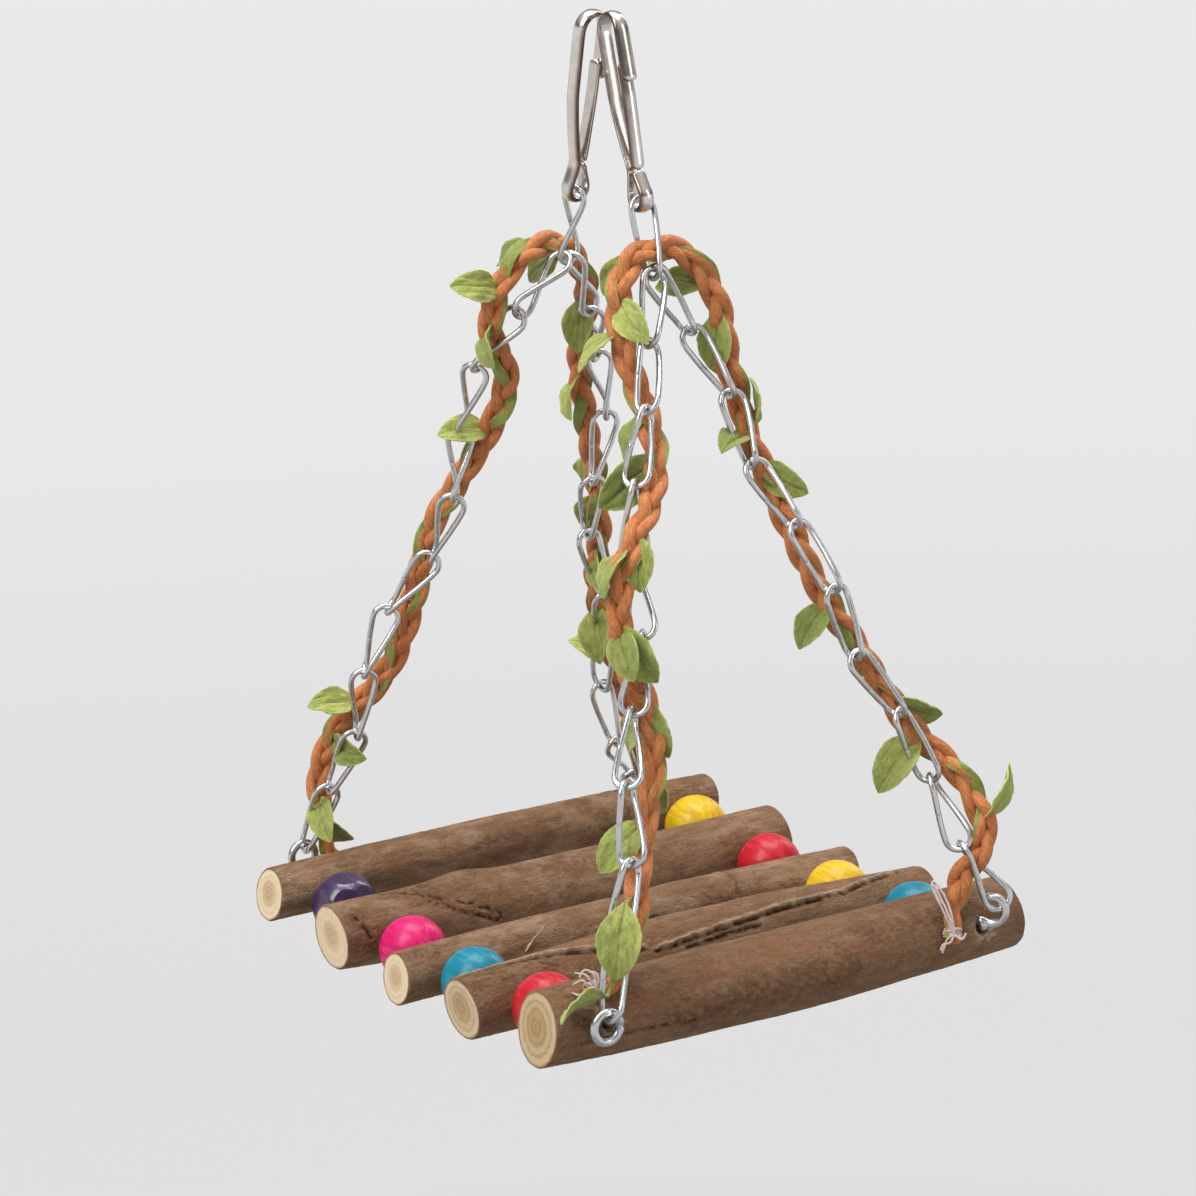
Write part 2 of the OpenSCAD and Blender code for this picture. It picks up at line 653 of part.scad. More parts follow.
// A pointed leaf that bends along its length, from its stem at the origin to its tip along X
module leaf(size) {
    length = leaf_length * size;
    width = leaf_width * size;
    side_r = (length * length + width * width) / (4 * width);
    curl_r = leaf_length * leaf_curl_share;
    arch = curl_r - sqrt(curl_r * curl_r - length * length / 4);
    intersection() {
        linear_extrude(arch * 2 + leaf_thickness, center = true)
            intersection() {
                translate([length / 2, side_r - width / 2])
                    circle(r = side_r);
                translate([length / 2, width / 2 - side_r])
                    circle(r = side_r);
            }
        translate([length / 2, 0, arch - curl_r])
            rotate([90, 0, 0])
            difference() {
                cylinder(h = 2 * width, r = curl_r, center = true);
                cylinder(h = 2 * width + overrun, r = curl_r - leaf_thickness, center = true);
            }
    }
}

module leaves(route, table) {
    color("yellowgreen")
        for (row = table)
            translate(route_point(route, row[0]))
                rotate([0, -row[2], row[1]])
                rotate([row[3], 0, 0])
                leaf(row[4]);
}

// Thread wound round the plait near one of its ends
module vine_tie(ends) {
    d = unit(ends[1] - ends[0]);
    translate(ends[0] + d * tie_inset)
        rotate([0, acos(d[2]), atan2(d[1], d[0])])
        cylinder(h = tie_width, r = vine_diameter / 2 + tie_wall);
}

module vine_ties() {
    color("hotpink")
        for (route = [near_route, far_route], last = [false, true])
            vine_tie(route_end(route, last));
}

hook_frame(-1, clip_turn_near);  // hook_frame_near
hook_frame(1, clip_turn_far);  // hook_frame_far
hook_gate(-1, clip_turn_near);  // hook_gate_near
hook_gate(1, clip_turn_far);  // hook_gate_far
top_link(-1, top_link_turn_near);  // top_link_near
top_link(1, top_link_turn_far);  // top_link_far
chain(strand_near_left);  // chain_near_left
chain(strand_near_right);  // chain_near_right
chain(strand_far_left);  // chain_far_left
chain(strand_far_right);  // chain_far_right
axle_wire(-1, strand_near_left, strand_far_left);  // axle_wire_left
axle_wire(1, strand_near_right, strand_far_right);  // axle_wire_right
perch(0);  // perch_1
perch(1);  // perch_2
perch(2);  // perch_3
perch(3);  // perch_4
perch(4);  // perch_5
bead(-1, 0, "crimson");  // bead_left_1
bead(-1, 1, "deepskyblue");  // bead_left_2
bead(-1, 2, "deeppink");  // bead_left_3
bead(-1, 3, "indigo", true);  // bead_left_4
bead(1, 0, "deepskyblue");  // bead_right_1
bead(1, 1, "gold");  // bead_right_2
bead(1, 2, "crimson");  // bead_right_3
bead(1, 3, "gold");  // bead_right_4
vine(near_route);  // vine_near
vine(far_route);  // vine_far
leaves(near_route, leaf_near_share);  // leaves_near
leaves(far_route, leaf_far_share);  // leaves_far
vine_ties();
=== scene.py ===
"""Looks of a hanging bird swing: branch perches and painted beads on two axle wires, twisted
link chains, spring clips and plaited vines with fabric leaves.

Lengths in the tables and sums are millimetres, as in the part's own source, with the same
names. Meshes and settings are in metres.
"""

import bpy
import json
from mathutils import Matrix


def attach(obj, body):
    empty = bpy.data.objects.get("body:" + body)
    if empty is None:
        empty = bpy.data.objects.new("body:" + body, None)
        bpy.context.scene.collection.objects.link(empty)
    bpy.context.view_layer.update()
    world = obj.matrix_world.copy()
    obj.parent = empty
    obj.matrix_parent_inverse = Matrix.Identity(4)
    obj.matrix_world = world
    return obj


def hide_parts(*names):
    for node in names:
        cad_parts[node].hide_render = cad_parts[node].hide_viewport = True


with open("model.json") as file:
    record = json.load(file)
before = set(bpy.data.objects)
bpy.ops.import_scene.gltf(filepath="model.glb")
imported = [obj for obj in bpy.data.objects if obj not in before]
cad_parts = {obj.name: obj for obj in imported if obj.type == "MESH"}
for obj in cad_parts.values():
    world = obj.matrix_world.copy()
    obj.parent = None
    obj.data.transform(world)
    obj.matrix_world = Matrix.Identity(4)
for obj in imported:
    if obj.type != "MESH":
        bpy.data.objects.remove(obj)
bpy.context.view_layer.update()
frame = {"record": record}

import json
import math

import bmesh
import bpy
import numpy as np
from bpy.props import FloatProperty, FloatVectorProperty, PointerProperty
from mathutils import Matrix, Vector, noise

bl_info = {
    "name": "Bird Swing Looks",
    "version": (1, 0, 0),
    "blender": (4, 5, 0),
    "location": "View3D > Sidebar > Bird Swing",
    "description": "Builds the finished pieces of a hanging bird swing over its fixed frame",
    "category": "Object",
}

MM = 0.001
BODY_OF = {
    node: body
    for body, nodes in frame["record"]["behaviour"]["bodies"].items()
    for node in nodes
}

# The part's own sizes
PERCH_LENGTH = 129
PERCH_DIAMETERS = [17.6, 15, 12.4, 16.4, 13]
PERCH_BORE_CLEARANCE = 0.35
DECK_SAG = 6.2
BEAD_DIAMETER = 16
BEAD_LENGTH = 15.2
BEAD_BORE_CLEARANCE = 0.4
BEAD_PLAY = 0.35
WIRE_DIAMETER = 2
WIRE_SPACING = 103
EYE_BORE = 4.6
EYE_NECK = 4.2
LINK_WIRE = 1.4
LINK_WIDTH = 7.6
LINK_PITCH = 17
LINK_COUNT = 10
LINK_PLAY = 0.3
LEG_STRAIGHT = 0.8
SLACK_SHARE = 0.03
CLIP_HEIGHT = 46
CLIP_WIDTH = 9.2
STRIP_WIDTH = 3.6
STRIP_THICKNESS = 1.3
CLIP_SPACING = 7.2
CLIP_EYE_BORE = 4.4
APEX_SPREAD = 36
NOSE_LENGTH = 15.5
GATE_PLAY = 0.15
SEAT_PLAY = 0.9
APEX_PLAY = 0.2
LEAF_LENGTH = 13
LEAF_WIDTH = 7.6

NEAR, FAR, LEFT, RIGHT = -1, 1, -1, 1
SIDES = ((NEAR, "near"), (FAR, "far"))
HANDS = ((LEFT, "left"), (RIGHT, "right"))
# How far each clip and its top link are turned on the line that they hang along, in degrees
CLIP_TURN = {NEAR: -92, FAR: 11}
TOP_LINK_TURN = {NEAR: 1, FAR: -74}


def unit(v):
    return np.asarray(v, float) / np.linalg.norm(v)


def square_to(v, n):
    """What is left of v across the direction n."""
    return v - np.dot(v, n) * n


BEAD_GAP = BEAD_LENGTH + 2 * BEAD_PLAY
DECK_HALF = (sum(PERCH_DIAMETERS) + (len(PERCH_DIAMETERS) - 1) * BEAD_GAP) / 2
ARC_RADIUS = (DECK_HALF**2 + DECK_SAG**2) / (2 * DECK_SAG)
ARC_END = DECK_HALF + EYE_NECK


def perch_along(i):
    return sum(PERCH_DIAMETERS[:i]) + i * BEAD_GAP + PERCH_DIAMETERS[i] / 2 - DECK_HALF


def bead_along(i):
    return sum(PERCH_DIAMETERS[: i + 1]) + (i + 0.5) * BEAD_GAP - DECK_HALF


def arc_y(along):
    return ARC_RADIUS * math.sin(along / ARC_RADIUS)


def arc_rise(along):
    return ARC_RADIUS * (1 - math.cos(along / ARC_RADIUS))


EYE_R = EYE_BORE / 2 + WIRE_DIAMETER / 2
LINK_BEND = (LINK_WIDTH - LINK_WIRE) / 2
LINK_GAP = LINK_WIRE + LINK_PLAY
LINK_LINE = LINK_PITCH + LINK_GAP
LINK_STRAIGHT = LINK_LINE / 2 - LINK_BEND
# From a strand's last joint to the middle of the ring's wire
RING_SEAT = WIRE_DIAMETER / 2 + LINK_WIRE / 2 + LINK_PLAY - LINK_GAP / 2

STRIP_HALF = STRIP_THICKNESS / 2
LOOP_R = (CLIP_WIDTH - STRIP_THICKNESS) / 2
CLIP_EYE_R = (CLIP_EYE_BORE + STRIP_THICKNESS) / 2
CLIP_EYE_Z = 2 * STRIP_THICKNESS + CLIP_EYE_BORE / 2 - CLIP_HEIGHT
WAIST_X = STRIP_HALF + GATE_PLAY / 2 + LINK_PLAY
WAIST_Z = -0.76 * CLIP_HEIGHT
CLIP_KNEE_Z = -1.15 * NOSE_LENGTH
GATE_TIP_X = LOOP_R - STRIP_THICKNESS - GATE_PLAY
GATE_TIP_Z = -0.7 * NOSE_LENGTH
# The dressed strip is set outwards by this much, so that it clears the link in its eye
STRIP_SHIFT = 0.1

LINK_INNER_R = LINK_WIDTH / 2 - LINK_WIRE
TOP_LINK_Z = (
    CLIP_EYE_Z - CLIP_EYE_BORE / 2 + SEAT_PLAY
    - math.sqrt(LINK_INNER_R**2 - (STRIP_WIDTH / 2) ** 2)
)
STACK = LINK_LINE - LINK_BEND - TOP_LINK_Z
CLIP_LEAN = math.asin((APEX_SPREAD - CLIP_SPACING) / 2 / STACK)


def hang_axis(side):
    return np.array([0, side * math.sin(CLIP_LEAN), -math.cos(CLIP_LEAN)])


def apex(side):
    return np.array([0, side * CLIP_SPACING / 2, 0]) + hang_axis(side) * STACK


EYE_Y = arc_y(ARC_END)
CHAIN_CHORD = LINK_COUNT * LINK_PITCH * (1 - SLACK_SHARE)
EYE_DROP = math.sqrt(
    CHAIN_CHORD**2 - (WIRE_SPACING / 2) ** 2 - (EYE_Y - APEX_SPREAD / 2) ** 2
)
EYE_Z = apex(FAR)[2] - EYE_DROP - EYE_R
DECK_Z = EYE_Z - arc_rise(ARC_END)

# Where the strands sit in a top link's bow: how far beside its lowest point, and above it
APEX_ASIDE = LINK_WIRE * 0.7
APEX_LIFT = LINK_BEND - math.sqrt((LINK_BEND - LINK_GAP - APEX_PLAY) ** 2 - APEX_ASIDE**2)


class Strand:
    """One of the four chain strands: where its eye stands and where each joint lies."""

    def __init__(self, side, hand, eye, wander, headings, seat):
        self.side, self.headings = side, headings
        turn, tilt = map(math.radians, eye)
        self.eye_u = np.array([math.cos(turn), 0, math.sin(turn)])
        self.eye_v = np.array(
            [-math.sin(tilt) * math.sin(turn), math.cos(tilt), math.sin(tilt) * math.cos(turn)]
        )
        self.corner = np.array([hand * WIRE_SPACING / 2, side * EYE_Y, EYE_Z])
        self.centre = self.corner + EYE_R * self.eye_u
        pull = unit(apex(side) - self.centre)
        in_ring = pull @ self.eye_u * self.eye_u + pull @ self.eye_v * self.eye_v
        anchor = self.centre + EYE_R * unit(in_ring)
        end = anchor - pull * RING_SEAT
        heading = math.radians(90 + TOP_LINK_TURN[side])
        across = np.array([math.cos(heading), math.sin(heading), 0])
        start = (
            apex(side) - hang_axis(side) * APEX_LIFT
            + across * APEX_ASIDE * seat - pull * LINK_GAP / 2
        )
        self.joints = self.settle(start, end, np.array(wander + [[0, 0]], float))

    def settle(self, start, end, wander):
        """The joints from start to end, with the wander scaled until the links fit."""
        down = unit(end - start)
        out = unit(square_to(np.array([0.0, self.side, 0.0]), down))
        aside = np.cross(out, down) * -self.side
        steps = np.linalg.norm(np.diff(wander, axis=0), axis=1)

        def run(k):
            return np.concatenate([[0], np.cumsum(np.sqrt(np.maximum(0, 1 - (k * steps) ** 2)))])

        low, high = 0.0, 2.5
        for _ in range(24):
            k = (low + high) / 2
            if run(k)[-1] * LINK_PITCH > np.linalg.norm(end - start):
                low = k
            else:
                high = k
        k = (low + high) / 2
        return (
            start
            + LINK_PITCH * run(k)[:, None] * down
            + LINK_PITCH * k * wander[:, :1] * aside
            + LINK_PITCH * k * wander[:, 1:] * out
        )


# Chain strands: side, hand, the ring's turn and tilt, how far each joint wanders aside and
# outwards, each link's heading, and on which side of the top link's bow the strand sits
STRANDS = {
    "near_left": Strand(
        NEAR, LEFT, (180, 90),
        [[0, 0], [-0.07, 0.08], [-0.26, 0.37], [-0.37, 0.25], [-0.09, 0], [0.13, 0.16],
         [0.13, -0.03], [-0.05, 0.16], [0.17, 0.21], [0.1, -0.05]],
        [1, 15, 30, 40, 45, 45, 40, 30, 20, 10], -1,
    ),
    "near_right": Strand(
        NEAR, RIGHT, (70, 165),
        [[0, 0], [0.22, -0.28], [0.26, -0.18], [-0.09, 0], [-0.04, 0.2], [-0.05, 0.28],
         [-0.11, -0.05], [0.09, -0.06], [0.06, -0.15], [-0.14, 0.04]],
        [1, -8, -8, 0, 10, 5, 5, 22, 45, 68], 1,
    ),
    "far_left": Strand(
        FAR, LEFT, (40, 90),
        [[0, 0], [-0.42, -0.15], [-0.58, 0], [-0.35, 0.09], [-0.15, -0.14], [-0.03, -0.04],
         [-0.27, 0.06], [-0.29, -0.05], [-0.02, -0.09], [0, 0.02]],
        [-72, -62, -52, -40, -35, -30, -25, -20, -15, -10], -1,
    ),
    "far_right": Strand(
        FAR, RIGHT, (130, 60),
        [[0, 0], [0.18, -0.04], [0.34, 0.17], [0.31, 0.08], [-0.12, -0.04], [-0.23, 0.09],
         [-0.25, -0.18], [-0.28, -0.07], [-0.28, 0.14], [-0.3, -0.07]],
        [-72, -58, -38, -20, -10, 0, 5, 5, 0, 0], 1,
    ),
}

# Perches: bulge, oval, oval's angle, bend, bend's angle, left and right end tilts
PERCH_SHAPES = [
    [0.085, 0.03, 20, 0.05, 250, 0.14, -0.12],
    [0.03, 0.06, 80, 0.1, 110, -0.1, 0.16],
    [0.02, 0.03, 10, 0.08, 80, 0.1, 0.1],
    [0.03, 0.04, 60, 0.14, 290, -0.06, -0.1],
    [0.05, 0.03, 130, 0.06, 90, 0.2, 0.12],
]
# How pale each perch's bark and sawn ends are, from 0 to 1
BARK_PALENESS = [0.0, 0.05, 0.75, 0.5, 0.8]
SAWN_PALENESS = [0.0, 0.3, 0.85, 1.0, 0.75]
# How far apart in the noise the perches are read, so that no two have the same bark
PERCH_NOISE_STEP = 200
# Knots and swellings: place along the perch, angle, height, length, spread
PERCH_KNOTS = [
    [[0.1, 200, 0.05, 1.6, 60], [-0.3, 60, 0.03, 0.8, 40]],
    [[-0.25, 95, 0.12, 5, 34], [0.35, 80, 0.05, 1.5, 40]],
    [[0.2, 100, 0.07, 0.9, 40], [-0.45, 20, 0.04, 0.8, 40]],
    [[-0.42, 75, 0.16, 0.9, 42], [0.25, 200, 0.05, 1, 40]],
    [[0, 120, 0.05, 1.2, 50], [0.4, 300, 0.04, 1, 50]],
]

VINE_ROUTES = {
    "far": [
        [-44, 70, -203.5], [-43.5, 73, -194.5], [-43, 73, -185.5], [-41, 70, -177],
        [-37.5, 65.5, -169.5], [-33.5, 60.5, -163], [-30.5, 56, -156], [-28, 53.5, -147.5],
        [-26, 51.5, -138.5], [-24, 50, -129.5], [-22, 47.5, -121], [-19, 43.5, -113.5],
        [-16.5, 38.5, -106], [-14.5, 33.5, -98.5], [-13, 29, -91], [-13.5, 25.5, -83],
        [-18, 24, -73], [-18, 21.5, -64.5], [-12, 21, -56.5], [-3.5, 22.5, -53.5],
        [4.5, 24.5, -56], [10, 27, -63], [13, 31, -71], [14, 35.5, -79.5],
        [15.5, 39, -88], [17.5, 41, -96.5], [20, 43, -105.5], [22.5, 44.5, -114],
        [24.5, 46.5, -122.5], [26.5, 49.5, -131.5], [27, 52.5, -140], [28.5, 55, -148.5],
        [32, 58, -157], [35.5, 60.5, -165], [40, 63.5, -172.5], [43, 65.5, -181],
        [46, 68, -189.5], [49.5, 70, -197.5],
    ],
    "near": [
        [-48.5, -66, -201], [-43.5, -64.5, -194], [-39.5, -62.5, -186], [-36.5, -59.5, -178],
        [-33, -57, -170], [-29, -54.5, -162], [-26.5, -51.5, -153.5], [-26.5, -48, -145],
        [-29.5, -46, -136.5], [-31, -46.5, -128], [-29.5, -45.5, -118.5], [-25, -44, -110.5],
        [-18.5, -41, -104], [-13.5, -36.5, -98], [-10.5, -31, -91], [-10, -26.5, -83.5],
        [-11, -22.5, -75], [-11, -19.5, -66], [-8.5, -17.5, -57.5], [-2.5, -16.5, -52],
        [8, -16.5, -52.5], [14, -18, -59], [17, -19.5, -68], [17.5, -20.5, -77.5],
        [19, -22.5, -86.5], [19, -26, -95], [20.5, -30, -103], [22, -34, -111],
        [23.5, -38, -119], [26, -41, -127.5], [29.5, -43.5, -135.5], [34, -45, -143],
        [38, -47, -151], [42, -50, -159], [46, -54, -166], [50, -60, -172],
        [52.5, -65.5, -179.5], [51.5, -69.5, -188], [46.5, -68, -195.5], [43.5, -68, -204],
    ],
}

# Leaves: place along the vine in steps of its route, heading, dip, turn and size. Two have a
# drawn stem too, which leads from the vine to the leaf as (right, up, towards the viewer)
LEAVES = {
    "far": [
        [0.9, 5, -45, 155, 1], [1.3, -105, -45, 40, 1], [3.1, -80, -15, 90, 1],
        [4.3, 170, 5, -45, 1], [6.1, 100, -55, -85, 1], [13.1, 170, 0, -50, 1],
        [16.2, -120, -40, 75, 1], [17.2, 175, 10, -70, 1], [18.6, 100, -20, -45, 1],
        [19.8, 115, -40, -70, 1], [21.7, -165, -75, -20, 1.05], [24.1, -140, -50, 55, 1],
        [26.6, 65, -50, -120, 1], [27.8, 80, -55, -115, 1], [29.6, -110, -35, 80, 1],
        [31.4, -125, -65, 25, 1.15], [33.5, 140, 25, -35, 1],
    ],
    "near": [
        [0.4, -170, -11, 46, 1.05, (-2.6, -5.8, 6.6)],
        [2.1, -160, -75, -30, 1.3, (-2.6, 0, 8.6)], [4, 160, -45, -50, 1.15],
        [5.3, 45, -65, -170, 1], [6.6, 85, -50, -85, 1], [7, -60, -65, 85, 1.1],
        [8.9, -105, -50, 40, 1], [9, -55, -55, 80, 1.15], [10.8, -165, -45, 20, 1],
        [11.2, -120, -65, 10, 1], [13.5, 160, -40, -85, 1.3], [14.6, 115, -65, -50, 1],
        [14.9, 15, -55, -170, 1], [16.7, 160, -40, -10, 1], [17.5, -85, -40, 65, 1],
        [18.8, 80, -60, -100, 1], [18.9, 120, -45, -85, 1], [20, 95, -25, -50, 1],
        [21.2, 125, -5, -50, 1], [21.9, -165, -85, -20, 1.1], [25, 35, 80, 110, 1],
        [25.1, -155, -5, -10, 1], [25.8, -55, -30, 90, 1], [29.7, -175, -45, -25, 1],
        [32.7, -25, -20, 115, 1], [33.9, 165, -50, -45, 1.25], [36.5, -10, 60, 130, 1.15],
    ],
}

# Where each vine's loose cord ends lead from the first and the last point of its route, as
# (right, up, towards the viewer)
LOOSE_ENDS = {
    "far": [(1.4, -4, -1), (0.5, -4, -1)],
    "near": [(-5.6, -2.4, 2.4), (-0.5, -6, 1.3)],
}

# How far round each wire's ring is closed, in degrees
RING_SWEEP = {"near_left": 346, "near_right": 286, "far_left": 340, "far_right": 340}
# How a ring and the one that faces the viewer start: the ring's first angle, how far back the
# bend leaves the wire, and how strongly the wire and the ring pull on it
RING_START = (26, 1.3, 0.9, 1.1)
FACING_START = (54, 4.5, 2.4, 1.6)

# Where the holes are, as a share of a perch's half length
HOLE = WIRE_SPACING / PERCH_LENGTH
# Marks in the bark of each perch: kind, width, depth, and the line that it follows as
# places along the perch (shares of the half length) and angles
BARK_MARKS = [
    [
        ("scrape", 3.4, 0.12, [(-0.4, 140), (-0.2, 142), (0.05, 136)]),
        ("scrape", 2.6, 0.1, [(-0.72, 156), (-0.5, 176)]),
        ("scrape", 2.8, 0.1, [(0.1, 160), (0.35, 168)]),
        ("stain", 5, 0.1, [(-0.5, 205), (0.2, 195)]),
        ("stain", 4, 0.1, [(0.3, 150), (0.75, 165)]),
        ("stain", 3, 0.1, [(-0.95, 110), (-0.9, 180)]),
        ("crack", 0.6, 0.35, [(-0.9, 204), (-0.7, 200), (-0.45, 206)]),
        ("chip", 2.6, 0.2, [(-HOLE - 0.02, 170), (-HOLE + 0.01, 190)]),
        ("chip", 2.8, 0.2, [(HOLE - 0.03, 172), (HOLE, 190)]),
    ],
    [
        ("split", 1.2, 0.8, [(-0.97, 82), (-0.81, 90), (-0.61, 108), (-0.45, 126), (-0.3, 140)]),
        ("split", 1.2, 0.9, [(-0.24, 150), (-0.05, 142), (0.12, 136), (0.31, 129), (0.59, 125),
                             (0.88, 96)]),
        ("stain", 4.5, 0.15, [(-0.97, 122), (-0.7, 140)]),
        ("scrape", 2.2, 0.15, [(-0.7, 128), (-0.4, 146)]),
        ("crack", 0.8, 0.5, [(-0.12, 160), (0.04, 154), (0.2, 152)]),
        ("scrape", 1.8, 0.2, [(-0.9, 168), (-0.72, 160)]),
    ],
    [
        ("ring", 0.9, 0.28, [(0.42, 0), (0.42, 360)]),
        ("stain", 3, 0.1, [(0.3, 160), (0.4, 176)]),
        ("stain", 2.5, 0.1, [(-0.96, 118), (-0.88, 130)]),
        ("crack", 0.5, 0.3, [(-0.2, 168), (0.1, 164)]),
    ],
    [
        ("scar", 1.5, 0.5, [(-0.61, 122), (-0.51, 146), (-0.36, 176)]),
        ("crack", 0.6, 0.5, [(-0.74, 88), (-0.66, 104), (-0.57, 128)]),
        ("stain", 4.5, 0.2, [(-0.74, 90), (-0.56, 106)]),
        ("stain", 3, 0.2, [(-0.96, 118), (-0.93, 160), (-0.9, 192)]),
        ("crack", 0.6, 0.4, [(-0.94, 128), (-0.9, 170)]),
        ("stain", 3, 0.1, [(-0.2, 96), (0.1, 120)]),
    ],
    [("stain", 2.5, 0.1, [(-0.13, 158), (0, 150)]), ("ring", 0.8, 0.15, [(0.55, 0), (0.55, 360)])],
]

# The side of the swing that the photograph shows: azimuth, elevation and roll in degrees
VIEW_AZIMUTH, VIEW_ELEVATION, VIEW_ROLL = -32.68, 13.36, -2.05
# How far off the viewer stands, the height aimed at, the step to the right, and the lens
VIEW_DISTANCE = 877.6
VIEW_AIM_Z, VIEW_AIM_X = -135.03, -5.5
VIEW_LENS = 113.02


def view_axes():
    """The camera's right, up and backward directions."""
    az, el, roll = map(math.radians, (VIEW_AZIMUTH, VIEW_ELEVATION, VIEW_ROLL))
    back = np.array([math.sin(az) * math.cos(el), -math.cos(az) * math.cos(el), math.sin(el)])
    right = np.array([math.cos(az), math.sin(az), 0])
    up = np.cross(back, right)
    return (
        math.cos(roll) * right + math.sin(roll) * up,
        -math.sin(roll) * right + math.cos(roll) * up,
        back,
    )


VIEW_AXES = np.array(view_axes())
FRONT = VIEW_AXES[2]


# Settings
def length(title, text, default, top=0.02):
    return FloatProperty(
        name=title, description=text, default=default * MM, min=0, max=top,
        subtype="DISTANCE", unit="LENGTH", precision=5,
    )


def colour(title, text, default):
    return FloatVectorProperty(
        name=title, description=text, default=default, size=3, min=0, max=1, subtype="COLOR",
    )


class SwingSizes(bpy.types.PropertyGroup):
    """Sizes of the finish that a user would change."""

    cord_thickness: length("Cord thickness", "Thickness of one waxed cord of a plait", 2.9)
    plait_reach: length("Plait reach", "How far a cord swings sideways in its plait", 1.75)
    plait_depth: length("Plait depth", "How far a cord swings over and under the others", 1.15)
    plait_repeat: length("Plait repeat", "Length in which a cord is back in its place", 27, 0.1)
    ribbon_width: length("Ribbon width", "Width of the leaf ribbon in the plait", 2.7)
    leaf_thickness: length("Leaf thickness", "Thickness of the leaf fabric", 0.36)
    bark_relief: length("Bark relief", "Height of the ridges and bumps of the bark", 0.3)
    thread_thickness: length("Thread thickness", "Thickness of the tying thread", 0.55)


class SwingColours(bpy.types.PropertyGroup):
    """Colours of the finish that a user would change."""

    bark_dark: colour("Dark bark", "Bark in its cracks", (0.06, 0.034, 0.02))
    bark_mid: colour("Bark", "Most of the bark", (0.3, 0.158, 0.078))
    bark_light: colour("Pale bark", "Rubbed and weathered bark", (0.43, 0.29, 0.19))
    bark_red: colour("Inner bark", "Where the outer bark is scraped off", (0.33, 0.145, 0.07))
    sapwood: colour("Sawn wood", "Cut ends near the bark", (0.8, 0.63, 0.42))
    heartwood: colour("Heartwood", "Cut ends round the pith", (0.42, 0.28, 0.13))
    cord: colour("Cord", "Waxed cord of the vines", (0.68, 0.25, 0.082))
    cord_shade: colour("Cord between fibres", "Deeper tone of the cord", (0.41, 0.122, 0.032))
    leaf: colour("Leaf", "Fresh side of the leaf fabric", (0.455, 0.5, 0.13))
    # Also the painted shade in the leaves' creases and crinkles
    leaf_shade: colour("Leaf folds", "Deeper green of the leaf fabric", (0.1, 0.14, 0.026))
    thread: colour("Thread", "Tying thread", (0.8, 0.66, 0.62))
    red: colour("Red paint", "Red beads", (0.56, 0.006, 0.02))
    blue: colour("Blue paint", "Blue beads", (0.0, 0.23, 0.34))
    pink: colour("Pink paint", "Pink bead", (0.74, 0.006, 0.15))
    purple: colour("Purple paint", "Purple bead", (0.034, 0.006, 0.066))
    yellow: colour("Yellow paint", "Yellow beads", (0.8, 0.5, 0.006))
    clip_steel: colour("Clip steel", "Nickelled spring clips", (0.8, 0.75, 0.7))
    # Painted dark reflection along the clips' edges
    clip_edge_reflection: colour("Clip edge reflection", "Painted dark reflection at the edges of the clips", (0.14, 0.085, 0.07))
    chain_steel: colour("Chain steel", "Chrome plated links", (0.66, 0.67, 0.68))
    wire_steel: colour("Wire steel", "Bright drawn axle wires", (0.66, 0.67, 0.69))
    floor: colour("Floor", "Floor and sweep under the swing", (0.78, 0.78, 0.78))


# Finishes
class Value:
    """A socket of a node tree, used in sums like a number."""

    def __init__(self, nodes, socket):
        self.nodes, self.socket = nodes, socket

    def _sum(self, operation, *values):
        return self.nodes.node("ShaderNodeMath", {"operation": operation}, dict(enumerate(values)))

    def __add__(self, other):
        return self._sum("ADD", self, other)

    def __radd__(self, other):
        return self._sum("ADD", other, self)

    def __sub__(self, other):
        return self._sum("SUBTRACT", self, other)

    def __rsub__(self, other):
        return self._sum("SUBTRACT", other, self)

    def __mul__(self, other):
        return self._sum("MULTIPLY", self, other)

    def __rmul__(self, other):
        return self._sum("MULTIPLY", other, self)

    def __pow__(self, other):
        return self._sum("POWER", self, other)

    def wave(self):
        return self._sum("SINE", self)

    def size(self):
        return self._sum("ABSOLUTE", self)

    def between(self, low, high):
        """0 up to low, 1 from high on, and smooth between them."""
        return self.nodes.node(
            "ShaderNodeMapRange",
            {"interpolation_type": "SMOOTHSTEP"},
            {"Value": self, "From Min": low, "From Max": high},
        )


class Nodes:
    """The node tree of a material or a world."""

    def __init__(self, owner):
        owner.use_nodes = True
        self.tree = owner.node_tree

    def node(self, kind, settings=None, inputs=None, output=0):
        """Adds any node: its settings first, then the values or links of its sockets."""
        made = self.tree.nodes.new(kind)
        for key, value in (settings or {}).items():
            if key == "stops":
                ramp = made.color_ramp.elements
                while len(ramp) < len(value):
                    ramp.new(0.5)
                for element, (spot, tone) in zip(ramp, value):
                    element.position, element.color = spot, (*tone, 1)
            else:
                setattr(made, key, value)
        for key, value in (inputs or {}).items():
            self.feed(made.inputs[key], value)
        return Value(self, made.outputs[output])

    def feed(self, socket, value):
        if isinstance(value, Value):
            self.tree.links.new(value.socket, socket)
        elif socket.type == "RGBA" and len(value) == 3:
            socket.default_value = (*value, 1)
        else:
            socket.default_value = value


